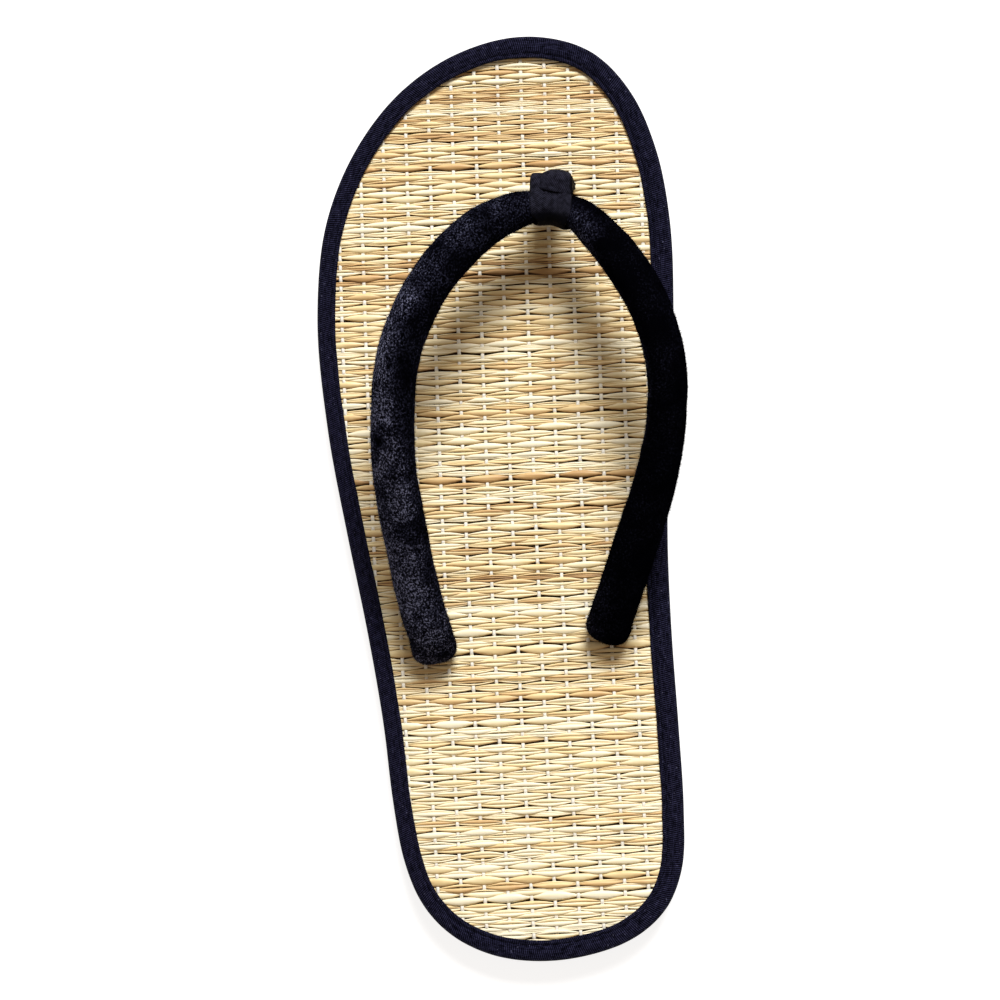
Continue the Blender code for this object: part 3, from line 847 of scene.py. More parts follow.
@dataclass
class StrapRun:
    """The padded roll's run from tail to tail, as evenly spaced stations.

    Attributes:
        sole_length: Length of the sole.
        ball_width: Breadth of the sole at the ball.
        width: Width of the roll.
        depth: Thickness of the roll.
        height: Height of its crown above the mat.
        mat_top: Height of the mat.
        tail_foot: Height of the tails' lower ends.
        tail_share: Size of the tails, as a share of the roll's.
        squareness: How square the roll's oval section is.
        steps: Rows found between two stations of the table.
        stations: Evenly spaced stations in all.
        settling: Stations to each side over which the roll's way in plan is taken.
    """

    sole_length: float
    ball_width: float = 104.7 * MM
    width: float = 12.7 * MM
    depth: float = 9.0 * MM
    height: float = 33.5 * MM
    mat_top: float = 10.2 * MM
    tail_foot: float = 7.2 * MM
    tail_share: float = 0.62
    squareness: float = 2.5
    steps: int = 24
    stations: int = 1201
    settling: int = 60

    def __post_init__(self) -> None:
        """Works out the stations: place, the two axes, and the half sizes."""
        run = []
        for share, side, rise, lean, width, depth in STRAP_RUN:
            spot = (side * self.ball_width, self.along(share), self.mat_top + rise * self.height)
            run.append((*spot, lean, width * self.width / 2, depth * self.depth / 2))
        rows = [*self.tail(run[0]), *run, *reversed(self.tail(run[-1]))]
        rows = smooth_run(np.array(rows, float), self.steps)
        knot = rows[(TAIL_ROWS + KNOT_ROW) * self.steps]
        length = travelled(rows[:, :3])
        even = np.linspace(0.0, length[-1], self.stations)
        rows = columns_at(even, length, rows)
        self.knot_at = float(even[np.argmin(np.linalg.norm(rows[:, :3] - knot[:3], axis=1))])
        self.length = even
        self.place = rows[:, :3]
        self.across, self.through = self.axes(rows[:, :3], np.radians(rows[:, 3]))
        self.half_width, self.half_depth = rows[:, 4], rows[:, 5]

    def along(self, share: float) -> float:
        """Y of a share of the sole's length from the heel."""
        return (share - 0.5) * self.sole_length

    def tail(self, seat: Sequence[float]) -> list[tuple[float, ...]]:
        """The two stations of a tail, which runs down through the mat from its seat."""
        size = (self.tail_share * self.width / 2, self.tail_share * self.depth / 2)
        return [(*seat[:2], z, 0.0, *size) for z in (self.tail_foot, self.mat_top + 0.3 * MM)]

    def axes(self, places: np.ndarray, leans: np.ndarray) -> tuple[np.ndarray, np.ndarray]:
        """The way across the roll and the way through it, leaned about its run."""
        ahead = np.gradient(places, axis=0)
        ahead /= np.linalg.norm(ahead, axis=1)[:, None]
        reach = self.settling
        middle = np.clip(np.arange(len(places)), reach, len(places) - 1 - reach)
        plan = places[middle + reach] - places[middle - reach]
        inward = np.stack([plan[:, 1], -plan[:, 0], np.zeros(len(plan))], axis=1)
        inward -= ahead * np.einsum("ij,ij->i", inward, ahead)[:, None]
        inward /= np.linalg.norm(inward, axis=1)[:, None]
        upward = np.cross(inward, ahead)
        c, s = np.cos(leans)[:, None], np.sin(leans)[:, None]
        return inward * c + upward * s, upward * c - inward * s

    def rings(self, at: np.ndarray, sides: int, grow: np.ndarray | float = 0.0) -> np.ndarray:
        """Oval rings of the roll.

        Args:
            at: Lengths along the run.
            sides: Points in each ring.
            grow: Length added all round: one number, or an array of rings and points.

        Returns:
            Array of rings, points and coordinates.
        """
        turns = ring_turns(sides)
        c, s = np.cos(turns), np.sin(turns)
        size = squarish(c, s, self.squareness)
        grown = np.broadcast_to(grow, (len(at), sides))
        centre, across, through = (
            columns_at(at, self.length, part) for part in (self.place, self.across, self.through)
        )
        wide = np.interp(at, self.length, self.half_width)[:, None] + grown
        deep = np.interp(at, self.length, self.half_depth)[:, None] + grown
        sideways = (wide * size * c)[:, :, None] * across[:, None, :]
        upwards = (deep * size * s)[:, :, None] * through[:, None, :]
        return centre[:, None, :] + sideways + upwards


@dataclass
class FoamSole:
    """The foam outsole, with straight grooves across its tread.

    Attributes:
        sole: The sole's plan and spring.
        top: Height of its top.
        inset: How far its side lies within the binding's edge.
        edge: Radius of its floor edge.
        groove: Width and depth of a groove.
        pitch: Distance between grooves.
        margin: Plain rim left beside the grooves.
        rim_share: The most of the sole's breadth that a rim takes up.
        lean_share: How far a groove's ends lean, as a share of the breadth.
        treads: Where the grooves run, as shares of the sole's length.
        wall: How far a groove's wall leans.
        bevel: Width and height of the bevel round its top.
        stations: Sections from the heel to the toe, besides those at the grooves' walls.
        tip: Where the first section lies on the half circle that spaces them, in radians.
        sharp: Angle above which an edge is sharp, in degrees.
    """

    sole: SoleForm
    top: float = 6.5 * MM
    inset: float = 0.6 * MM
    edge: float = 0.9 * MM
    groove: tuple[float, float] = (1.8 * MM, 1.2 * MM)
    pitch: float = 6.2 * MM
    margin: float = 8.0 * MM
    rim_share: float = 0.4
    lean_share: float = 0.001
    treads: Sequence[tuple[float, float]] = ((0.07, 0.29), (0.57, 0.90))
    wall: float = 0.02 * MM
    bevel: tuple[float, float] = (0.20 * MM, 0.25 * MM)
    stations: int = 420
    tip: float = 0.003
    sharp: float = 40.0

    def reach(self, inset: float) -> tuple[float, float]:
        """Middle and half of the length along Y that both sides of the inset outline have."""
        ring = self.sole.inset(inset)
        halves = [ring[self.sole.normals[:, 0] * side > 0, 1] for side in (-1, 1)]
        first = max(float(half.min()) for half in halves)
        last = min(float(half.max()) for half in halves)
        return (last + first) / 2, (last - first) / 2

    def grooves(self) -> list[float]:
        """Y of the middle of each groove."""
        length = float(np.ptp(self.sole.outline[:, 1]))
        found = []
        for first, last in self.treads:
            count = int((last - first) * length / self.pitch)
            found += [(first - 0.5) * length + i * self.pitch for i in range(count + 1)]
        return found

    def turns(self) -> np.ndarray:
        """Turns on a half circle at which the sections lie: even ones, and the grooves' walls."""
        middle, half = self.reach(self.inset + self.edge)
        walls = [
            math.acos(-(y + side * (self.groove[0] / 2 + out * self.wall) - middle) / half)
            for y in self.grooves()
            for side in (-1, 1)
            for out in (0, 1)
        ]
        even = np.linspace(self.tip, math.pi - self.tip, self.stations)
        return np.sort(np.concatenate([even, walls]))

    def floor(self, low: np.ndarray, high: np.ndarray) -> list[np.ndarray]:
        """Lines of the grooved floor from its low X edge to its high one.

        Args:
            low: The edge at low X.
            high: The edge at high X.

        Returns:
            Six lines; the two middle ones lie in the grooves.
        """
        nearest = np.abs(low[:, 1:2] - np.array(self.grooves())[None, :]).min(axis=1)
        deep = np.where(nearest < (self.groove[0] + self.wall) / 2, self.groove[1], 0.0)
        raised = np.column_stack([np.zeros((len(deep), 2)), deep])
        across = high - low
        share = (self.margin - self.inset) / np.maximum(across[:, 0], MM)
        rim = np.minimum(share, self.rim_share)[:, None] * across
        left, right = low + rim, high - rim
        lean = self.lean_share * across
        return [low, left, left + raised + lean, right + raised - lean, right, high]

    def build(self) -> None:
        """Makes the outsole from sections across it."""
        turns = self.turns()
        edge, top, (bevel, fall) = self.edge, self.top, self.bevel
        # A quarter circle's middle lies this share of its radius within its corner.
        eased = 0.29 * edge
        profile = ((edge, 0.0), (eased, eased), (0.0, edge), (0.0, top - fall), (bevel, top))
        low, high = [], []
        for inset, height in profile:
            middle, half = self.reach(self.inset + inset)
            y = middle - half * np.cos(turns)
            left, right = self.sole.sides(y, self.inset + inset)
            z = height + self.sole.lift(y)
            low.append(np.column_stack([left, y, z]))
            high.append(np.column_stack([right, y, z]))
        rings = np.stack([*self.floor(low[0], high[0]), *high[1:], *low[:0:-1]], axis=1)
        sides = rings.shape[1]
        caps = [(0, 1, 2, 3, 4, 5, 6, sides - 1)]
        caps += [(sides - i, 5 + i, 6 + i, sides - 1 - i) for i in (1, 2, 3)]
        outsole = Loft(rings, caps=caps).build("foam_outsole", FoamRubber().make())
        outsole.data.set_sharp_from_angle(angle=math.radians(self.sharp))
        settle(outsole, Slot.FOAM_RUBBER, "outsole")


# Places along one bulge of a stem, in columns from the tie where it starts.
TIE_STEPS = (0.0, 0.12, 0.40, 0.70, 1.00, 1.30, 1.60, 1.88)


@dataclass
class RushMat:
    """The woven footbed: rows of rush stems, tied down by columns of white warp thread.

    Attributes:
        sole: The sole that it lies on.
        holes: Plan centres and radii of the holes for the strap's tails, where stems stop.
        toe_pitch: Distance between rows at the toe.
        heel_pitch: The same at the heel.
        jitter: Spread of the pitch, as a share of it.
        jitter_limits: Least and greatest pitch, as shares of the usual one.
        row_wave: Height and length of the rows' slow waves.
        column_pitch: Distance between columns of thread.
        toe_tilt: How far the weave is turned at the toe, in degrees.
        heel_tilt: The same at the heel.
        straight_at: Y about which the columns drift aside.
        bulge_share: Width of a row at its bulges, as a share of its pitch.
        tie_share: The same at its ties.
        tie_height: Height of the stems where a thread ties them.
        bulge_height: Their height between two threads.
        height_spread: Spread of height from stem to stem.
        girths: Least and greatest half thickness of a stem.
        tone_toe: Mean tone of the rows at the toe, from 0, cream, to 1, brown.
        painted_heel_light: Painted light: how much paler the rows are at the heel, as if lit more
            brightly there.
        row_spread: Spread of tone from row to row.
        stem_spread: Spread of tone from stem to stem.
        core_top: Height of the pressed ground.
        tucked: How far within the outline the stems end, under the tape.
        shown: Distances from the outline between which they rise out of the tape.
        thread_waves: How far a thread's middle lies above the ties, and how far it rises and falls.
        thread: Half width of a thread.
        thread_flatness: Its thickness as a share of its width.
        seed: Seed of the weave's random draws.
    """

    sole: SoleForm
    holes: Sequence[tuple[float, float, float]]
    toe_pitch: float = 1.34 * MM
    heel_pitch: float = 1.93 * MM
    jitter: float = 0.13
    jitter_limits: tuple[float, float] = (0.75, 1.35)
    row_wave: tuple[float, float] = (0.14 * MM, 9.0 * MM)
    column_pitch: float = 6.85 * MM
    toe_tilt: float = 1.2
    heel_tilt: float = 3.6
    straight_at: float = 0.079
    bulge_share: float = 1.23
    tie_share: float = 0.30
    tie_height: float = 9.35 * MM
    bulge_height: float = 9.78 * MM
    height_spread: float = 0.07 * MM
    girths: tuple[float, float] = (0.24 * MM, 0.56 * MM)
    tone_toe: float = 0.33
    painted_heel_light: float = 0.14
    row_spread: float = 0.16
    stem_spread: float = 0.13
    core_top: float = 8.9 * MM
    tucked: float = 3.0 * MM
    shown: tuple[float, float] = (5.4 * MM, 8.6 * MM)
    thread_waves: tuple[float, float] = (0.08 * MM, 0.40 * MM)
    thread: float = 0.53 * MM
    thread_flatness: float = 0.26
    seed: int = 7

    def __post_init__(self) -> None:
        """Lays out the rows from heel to toe."""
        self.random = np.random.default_rng(self.seed)
        self.ends = (float(self.sole.outline[:, 1].min()), float(self.sole.outline[:, 1].max()))
        rows = []
        y = self.ends[0] + self.tucked
        while y < self.ends[1] - self.tucked:
            rows.append(y)
            pitch = self.heel_pitch + (self.toe_pitch - self.heel_pitch) * self.from_heel(y)
            drawn = 1.0 + self.jitter * self.random.standard_normal()
            y += pitch * float(np.clip(drawn, *self.jitter_limits))
        self.rows = np.array(rows)
        self.pitches = np.gradient(self.rows)

    def from_heel(self, y: np.ndarray | float) -> np.ndarray | float:
        """This Y as a share of the mat's length from the heel."""
        return (y - self.ends[0]) / (self.ends[1] - self.ends[0])

    def tilt(self, y: np.ndarray | float) -> np.ndarray | float:
        """Turn of the weave at this Y, in radians."""
        return np.radians(self.heel_tilt + (self.toe_tilt - self.heel_tilt) * self.from_heel(y))

    def drift(self, y: np.ndarray | float) -> np.ndarray | float:
        """How far the columns have moved aside at this Y, because the weave is turned."""
        middle = 0.5 * (self.tilt(y) + self.tilt(self.straight_at))
        return -middle * (y - self.straight_at)

    def row_y(self, row: int, x: np.ndarray) -> np.ndarray:
        """Y of a row at each X."""
        y = self.rows[row]
        height, length = self.row_wave
        wave = height * np.sin(x / length + 2.4 * row) * math.sin(1.7 * row)
        return y + x * math.tan(self.tilt(y)) + wave

    def free(self, x: np.ndarray, y: np.ndarray) -> np.ndarray:
        """Whether each place is clear of the holes."""
        clear = np.ones(len(x), bool)
        for centre_x, centre_y, radius in self.holes:
            clear &= np.hypot(x - centre_x, y - centre_y) > radius
        return clear

    def risen(self, plan: np.ndarray) -> np.ndarray:
        """How far each point in plan has risen out of the tape, from 0 to 1."""
        return smoothstep(*self.shown, self.sole.depth_inside(plan))

    def stems_of(self, row: int) -> list[dict[str, np.ndarray]]:
        """The stems of one row: chains of places with their girth, flatness, tone and the mask of the
        painted shade in their creases.
        """
        phase = np.add.outer(np.arange(-7.0, 8.0), np.array(TIE_STEPS) / 2).ravel() + row % 2 / 2
        almond = np.floor(phase - row % 2 / 2)
        x = 2 * phase * self.column_pitch + self.drift(self.rows[row])
        y = self.row_y(row, x)
        low, high = self.sole.sides(y, self.tucked)
        inside = (x > low) & (x < high)
        if inside.sum() < 3:
            return []
        x, y, almond, phase = x[inside], y[inside], almond[inside], phase[inside] - row % 2 / 2
        count = int(self.random.choice([1, 2, 2, 3]))
        shares = self.random.dirichlet(np.full(count, 9.0))
        starts = np.cumsum(shares) - shares / 2 - 0.5
        across = np.abs(2 * (phase - almond) - 1)
        lens = (1 - across**2.0) ** 1.12
        swell = 1 + 0.12 * np.sin(5.1 * almond + 3.3 * row)
        bulge, tie = self.bulge_share * self.pitches[row], self.tie_share * self.pitches[row]
        width = tie + (bulge - tie) * lens * swell
        heelward = (self.ends[1] - self.rows[row]) / (self.ends[1] - self.ends[0])
        # Painted light: rows are paler towards the heel, standing in for brighter light at that end.
        mean_tone = self.tone_toe - self.painted_heel_light * heelward
        tone = np.clip(self.random.normal(mean_tone, self.row_spread), 0.02, 0.9)
        stems = []
        for share, start in zip(shares, starts):
            shift = 0.10 * np.sin(x / (11 * MM) + 6.28 * self.random.random())
            girth = np.maximum(0.56 * share * width, self.girths[0])
            thick = np.clip(0.70 * girth, *self.girths)
            height = self.tie_height + (self.bulge_height - self.tie_height) * lens**0.8
            height = height + self.height_spread * self.random.standard_normal()
            own = tone + self.random.normal(0.0, self.stem_spread) + 0.07 * np.sin(3.7 * almond + row)
            stems.append(
                {
                    "place": np.stack([x, y + (start + shift * lens) * width, height], axis=1),
                    "girth": girth,
                    "flatness": thick / girth,
                    "tone": own,
                    # Mask of the painted shade in the creases: 1 at the ties, 0 in the middle of a
                    # bulge.
                    "crease": across**2.0,
                }
            )
        return stems

    def press(self, stems: list[dict[str, np.ndarray]]) -> None:
        """Presses the stems down under the tape, and bends them with the sole's spring."""
        for stem in stems:
            place = stem["place"]
            rise = self.risen(place[:, :2])
            place[:, 2] = self.tie_height + (place[:, 2] - self.tie_height) * rise
            stem["flatness"] = stem["flatness"] * (0.6 + 0.4 * rise)
            place[:, 2] += self.sole.lift(place[:, 1])

    def parted(self, stem: dict[str, np.ndarray]) -> list[dict[str, np.ndarray]]:
        """The stem in as many lengths as the holes leave of it."""
        clear = self.free(stem["place"][:, 0], stem["place"][:, 1])
        lengths = []
        edges = np.flatnonzero(np.diff(np.concatenate([[0], clear.astype(int), [0]])))
        for first, last in zip(edges[::2], edges[1::2]):
            if last - first > 2:
                lengths.append({name: values[first:last] for name, values in stem.items()})
        return lengths

    def sweep_tree(self) -> bpy.types.NodeTree:
        """Geometry nodes that sweep a flattened round section along every chain."""
        sheet = GeometrySheet("sweep", Sides="Int", Material="Material")
        chain = sheet.add("GeometryNodeMeshToCurve", {"Mesh": sheet.inputs["Geometry"]})
        place = sheet.add("GeometryNodeInputPosition").outputs["Position"]
        keep = sheet.add("GeometryNodeCaptureAttribute", {"Geometry": chain.outputs["Curve"]})
        keep.capture_items.new("VECTOR", "Centre")
        sheet.tree.links.new(place, keep.inputs["Centre"])
        profile = sheet.add(
            "GeometryNodeCurvePrimitiveCircle", {"Resolution": sheet.inputs["Sides"], "Radius": 1.0}
        )
        inputs = {
            "Curve": keep.outputs["Geometry"],
            "Profile Curve": profile.outputs["Curve"],
            "Scale": sheet.named("girth"),
            "Fill Caps": True,
        }
        tube = sheet.add("GeometryNodeCurveToMesh", inputs)
        centre = keep.outputs["Centre"]
        out = sheet.vector("SUBTRACT", place, centre)
        squash = sheet.add("ShaderNodeCombineXYZ", {"X": 1.0, "Y": 1.0, "Z": sheet.named("flatness")})
        moved = sheet.vector("ADD", centre, sheet.vector("MULTIPLY", out, squash.outputs["Vector"]))
        inputs = {"Geometry": tube.outputs["Mesh"], "Position": moved}
        return sheet.finish(sheet.add("GeometryNodeSetPosition", inputs).outputs["Geometry"])

    def thread_of(self, column: int) -> dict[str, np.ndarray] | None:
        """One warp thread, which passes over every second row and under the others."""
        steps = np.arange(0, len(self.rows) - 0.9, 0.25)
        y0 = np.interp(steps, np.arange(len(self.rows)), self.rows)
        x = column * self.column_pitch + self.drift(y0)
        y = y0 + x * np.tan(self.tilt(y0))
        low, high = self.sole.sides(y, self.tucked + 1.5 * MM)
        inside = (x > low) & (x < high) & self.free(x, y)
        if inside.sum() < 8:
            return None
        over = np.tanh(2.4 * np.cos(math.pi * (steps + column)))
        middle, rise_and_fall = self.thread_waves
        height = self.tie_height + middle + rise_and_fall * over
        rise = self.risen(np.stack([x, y], 1))
        height = np.minimum(height, self.tie_height + 0.2 * MM + 0.4 * MM * rise)
        place = np.stack([x, y, height + self.sole.lift(y)], axis=1)[inside]
        girth = np.full(len(place), self.thread)
        return {"place": place, "girth": girth, "flatness": np.full(len(place), self.thread_flatness)}

    def core(self, material: bpy.types.Material) -> bpy.types.Object:
        """The pressed ground under the stems, which fills the binding."""
        y = np.linspace(self.ends[0] + 1.0 * MM, self.ends[1] - 1.0 * MM, 150)
        low, high = self.sole.sides(y, 0.9 * MM)
        bottom = self.sole.tape_bottom + 0.9 * MM + self.sole.lift(y)
        top = self.core_top + self.sole.lift(y)
        corners = ((low, bottom), (high, bottom), (high, top), (low, top))
        rings = [np.stack([x, y, z], 1) for x, z in corners]
        return Loft(np.array(rings).transpose(1, 0, 2)[2:-2]).build("mat_core", material)

    def build(self) -> None:
        """Makes the ground, the stems in two lots, and the warp threads."""
        settle(self.core(MatGroundShade().make()), Slot.WOVEN_RUSH, "footbed")
        tree = self.sweep_tree()
        straw = RushStraw().make()
        stems = [self.stems_of(row) for row in range(len(self.rows))]
        half = len(stems) // 2
        for name, lot in (("rush_stems_heel", stems[:half]), ("rush_stems_toe", stems[half:])):
            lengths = [length for row in lot for stem in row for length in self.parted(stem)]
            self.press(lengths)
            piece = bake(threads(name, lengths), tree, Sides=7, Material=straw)
            settle(piece, Slot.WOVEN_RUSH, "footbed")
        columns = [self.thread_of(column) for column in range(-9, 10)]
        warp = threads("warp_threads", [thread for thread in columns if thread])
        warp = bake(warp, tree, Sides=6, Material=WarpCotton().make())
        settle(warp, Slot.WOVEN_RUSH, "footbed")


@dataclass
class Binding:
    """Cotton tape folded round the mat's edge and stitched down near its inner edge.

    Attributes:
        sole: The sole that it goes round.
        top_width: How far it reaches over the mat.
        narrowing: How much less it reaches on the little toe side.
        under_width: How far it reaches below the mat.
        thickness: Thickness of the tape.
        stitch_inset: Distance of the stitching from the inner edge.
        stitch_pitch: Distance between stitches.
        stitch_girth: Thickness of a stitch.
        lap_at: Y of the tape's overlap, on the big toe side.
        lap_length: Length of the overlap.
        lap_rise: How much thicker the tape is there.
        width_wave: Height, length and seed of the waves of its inner edge.
        top_wave: The same of its top.
    """

    sole: SoleForm
    top_width: float = 6.3 * MM
    narrowing: float = 0.9 * MM
    under_width: float = 6.0 * MM
    thickness: float = 0.7 * MM
    stitch_inset: float = 1.35 * MM
    stitch_pitch: float = 3.1 * MM
    stitch_girth: float = 0.22 * MM
    lap_at: float = 12.0 * MM
    lap_length: float = 13.0 * MM
    lap_rise: float = 0.45 * MM
    width_wave: tuple[float, float, float] = (0.14 * MM, 9.0 * MM, 3.0)
    top_wave: tuple[float, float, float] = (0.05 * MM, 5.0 * MM, 8.0)

    def __post_init__(self) -> None:
        """Works out the tape's width all round, with the small waves of sewn cloth."""
        outline = self.sole.outline
        flat = np.column_stack([outline, np.zeros(len(outline))])
        self.width = self.top_width - self.narrowing * np.clip(-self.sole.normals[:, 0], 0.0, 1.0)
        self.width = self.width + self.width_wave[0] * waver(flat, *self.width_wave[1:])
        self.wave = self.top_wave[0] * waver(flat, *self.top_wave[1:])
        inner_side = self.sole.normals[:, 0] > 0.5
        lap = np.exp(-(((outline[:, 1] - self.lap_at) / (self.lap_length / 2)) ** 4))
        self.lap = self.lap_rise * lap * inner_side
        self.lift = self.sole.lift(outline[:, 1])

    def section(self) -> list[tuple[np.ndarray, np.ndarray]]:
        """Inset and height of each line of the tape's C section, all round the sole."""
        top = self.sole.tape_top + self.wave + self.lap
        bottom = np.full(len(self.width), self.sole.tape_bottom)
        w, t, groove = self.width, self.thickness, self.width - self.stitch_inset
        out = -self.lap
        return [
            (w, top - t),
            (w + 0.03 * MM, top - 0.5 * t),
            (w - 0.12 * MM, top - 0.10 * MM),
            (w - 0.45 * MM, top + 0.01 * MM),
            (groove + 0.42 * MM, top - 0.01 * MM),
            (groove + 0.18 * MM, top - 0.20 * MM),
            (groove, top - 0.32 * MM),
            (groove - 0.18 * MM, top - 0.20 * MM),
            (groove - 0.45 * MM, top + 0.02 * MM),
            (groove - 1.2 * MM, top + 0.10 * MM),
            (0.5 * groove + 0.6 * MM, top + 0.09 * MM),
            (out + 1.35 * MM, top - 0.02 * MM),
            (out + 0.72 * MM, top - 0.22 * MM),
            (out + 0.26 * MM, top - 0.62 * MM),
            (out + 0.03 * MM, top - 1.20 * MM),
            (out, 0.5 * (top + bottom)),
            (out + 0.04 * MM, bottom + 1.10 * MM),
            (out + 0.30 * MM, bottom + 0.45 * MM),
            (out + 0.85 * MM, bottom + 0.10 * MM),
            (out + 1.50 * MM, bottom),
            (np.full(len(w), self.under_width), bottom),
            (np.full(len(w), self.under_width), bottom + t),
            (np.full(len(w), t), bottom + t),
            (np.full(len(w), t), top - t),
        ]

    def build(self) -> None:
        """Makes the tape and its stitching."""
        lines = [
            np.column_stack([self.sole.inset(inset), height + self.lift])
            for inset, height in self.section()
        ]
        rings = np.array(lines).transpose(1, 0, 2)
        tape = Loft(rings, wrapped=True).build("tape_binding", RibbedTape().make())
        settle(tape, Slot.COTTON_TAPE, "binding")
        groove = self.width - self.stitch_inset
        top = self.sole.tape_top + self.wave + self.lap - 0.22 * MM + self.lift
        line = np.column_stack([self.sole.inset(groove), top])
        path = threads("stitching", [{"place": np.vstack([line, line[:1]])}])
        settle(bake(path, self.stitch_tree(), **self.stitch_values()), Slot.COTTON_TAPE, "binding")

    def stitch_values(self) -> dict[str, Any]:
        """Sizes and finish of the stitches."""
        thread = BlackTwill(dark=(0.001, 0.001, 0.002), light=(0.004, 0.004, 0.006))
        return {
            "Pitch": self.stitch_pitch,
            "Length": 0.80 * self.stitch_pitch,
            "Thread": self.stitch_girth,
            "Material": thread.make(),
        }

    def stitch_tree(self) -> bpy.types.NodeTree:
        """Geometry nodes that lay a short stitch at every pitch along the path."""
        sheet = GeometrySheet(
            "stitches", Pitch="Float", Length="Float", Thread="Float", Material="Material"
        )
        path = sheet.add("GeometryNodeMeshToCurve", {"Mesh": sheet.inputs["Geometry"]})
        inputs = {"Curve": path.outputs["Curve"], "Length": sheet.inputs["Pitch"]}
        even = sheet.add("GeometryNodeResampleCurve", inputs, mode="LENGTH")
        bead = sheet.add("GeometryNodeMeshUVSphere", {"Segments": 8, "Rings": 5, "Radius": 0.5})
        ahead = sheet.add("GeometryNodeInputTangent").outputs["Tangent"]
        size = ("Length", "Thread", "Thread")
        laid = sheet.scatter(even.outputs["Curve"], bead.outputs["Mesh"], ahead, "X", size)
        return sheet.finish(laid)


@dataclass
class VelvetStrap:
    """The padded velvet roll.

    Attributes:
        run: The roll's run.
        rings: Rings along its length.
        sides: Points in each ring.
        dents: Depth, size and seed of the padding's dents, and last those of the pile.
        hairs: Hairs of the nap to the square metre.
        hair_length: Length of a hair.
        hair_width: Its half width at the root.
        seed: Seed of the hairs' places and lean.
    """

    run: StrapRun
    rings: int = 420
    sides: int = 64
    dents: Sequence[tuple[float, float, float]] = (
        (0.22 * MM, 7.0 * MM, 2.0),
        (0.10 * MM, 2.4 * MM, 5.0),
        (0.05 * MM, 0.9 * MM, 9.0),
    )
    hairs: float = 3.6e6
    hair_length: float = 0.65 * MM
    hair_width: float = 0.045 * MM
    seed: int = 5

    def build(self) -> None:
        """Makes the roll, with the soft dents of its padding and the painted glints of its crushed
        pile.
        """
        at = np.linspace(0.0, self.run.length[-1], self.rings)
        flat = self.run.rings(at, self.sides).reshape(-1, 3)
        dents = sum(depth * waver(flat, size, seed) for depth, size, seed in self.dents)
        rings = self.run.rings(at, self.sides, dents.reshape(self.rings, self.sides))
        strap = Loft(rings).build("velvet_strap", CrushedVelvet().make())
        # Painted glint: where the pile's sheen is painted into the base colour.
        store(strap.data, "painted_glint", self.painted_glint(flat))
        settle(strap, Slot.VELVET, "strap")
        nap = new_object("velvet_nap", strap.data.copy())
        values = {"Density": self.hairs, "Length": self.hair_length, "Width": self.hair_width}
        values |= {"Seed": self.seed, "Material": strap.data.materials[0]}
        nap = bake(nap, self.nap_tree(), **values)
        settle(nap, Slot.VELVET, "strap")

    def nap_tree(self) -> bpy.types.NodeTree:
        """Geometry nodes that scatter fine leaning hairs over the pile."""
        sheet = GeometrySheet(
            "nap", Density="Float", Length="Float", Width="Float", Seed="Int", Material="Material"
        )
        inputs = {name: sheet.inputs[name] for name in ("Density", "Seed")}
        inputs["Mesh"] = sheet.inputs["Geometry"]
        points = sheet.add("GeometryNodeDistributePointsOnFaces", inputs)
        hair = sheet.add(
            "GeometryNodeMeshCone",
            {"Vertices": 3, "Radius Top": 0.0, "Radius Bottom": 1.0, "Depth": 1.0},
        )
        inputs = {0: (-0.8, -1.0, -0.8), 1: (0.8, 0.6, 0.8), "Seed": sheet.inputs["Seed"]}
        stray = sheet.add("FunctionNodeRandomValue", inputs, data_type="FLOAT_VECTOR").outputs[0]
        lean = sheet.vector("ADD", points.outputs["Normal"], stray)
        size = ("Width", "Width", "Length")
        laid = sheet.scatter(points.outputs["Points"], hair.outputs["Mesh"], lean, "Z", size)
        return sheet.finish(laid)

    def painted_glint(self, flat: np.ndarray) -> np.ndarray:
        """How strongly the pile's painted glint shows at each point of the rings.

        Args:
            flat: The rings' points, one to a row.

        Returns:
            High in patches on the outside of the little toe side's arm, painted as catching the light,
            low on the other arm.
        """
        x, y = flat[:, 0], flat[:, 1]
        turns = ring_turns(self.sides)
        inward, upward = np.tile(np.cos(turns), self.rings), np.tile(np.sin(turns), self.rings)
        little_toe_arm = 1.0 - smoothstep(2 * MM, 24 * MM, x)
        heelward = 1.0 - smoothstep(0.0, 40 * MM, y)
        near_toe = smoothstep(44 * MM, 72 * MM, y)
        outside = 1.0 - smoothstep(-0.25, 0.75, inward - 0.55 * heelward)
        # Painted shade: fewer glints towards the toe, and a painted contact shadow on the arm close
        # beside the loop.
        outside *= 1.0 - 0.7 * near_toe
        outside *= 1.0 - 0.8 * bell(x, 6 * MM, 3 * MM)
        # Painted highlight beside the knot on the big toe side, and painted glints on the underside.
        neck = bell(x, 25 * MM, 4.5 * MM) * smoothstep(-0.6, 0.5, inward)
        under = 0.4 * (1.0 - smoothstep(-0.7, 0.0, upward))
        patches = 0.80 + 0.80 * waver(flat, 7.0 * MM, 21.0) + 0.5 * waver(flat, 2.6 * MM, 33.0)
        near = np.clip(patches, 0.0, 1.2)
        return near * (0.07 + under + 1.1 * little_toe_arm * (0.12 + 0.88 * outside) + 0.45 * neck)


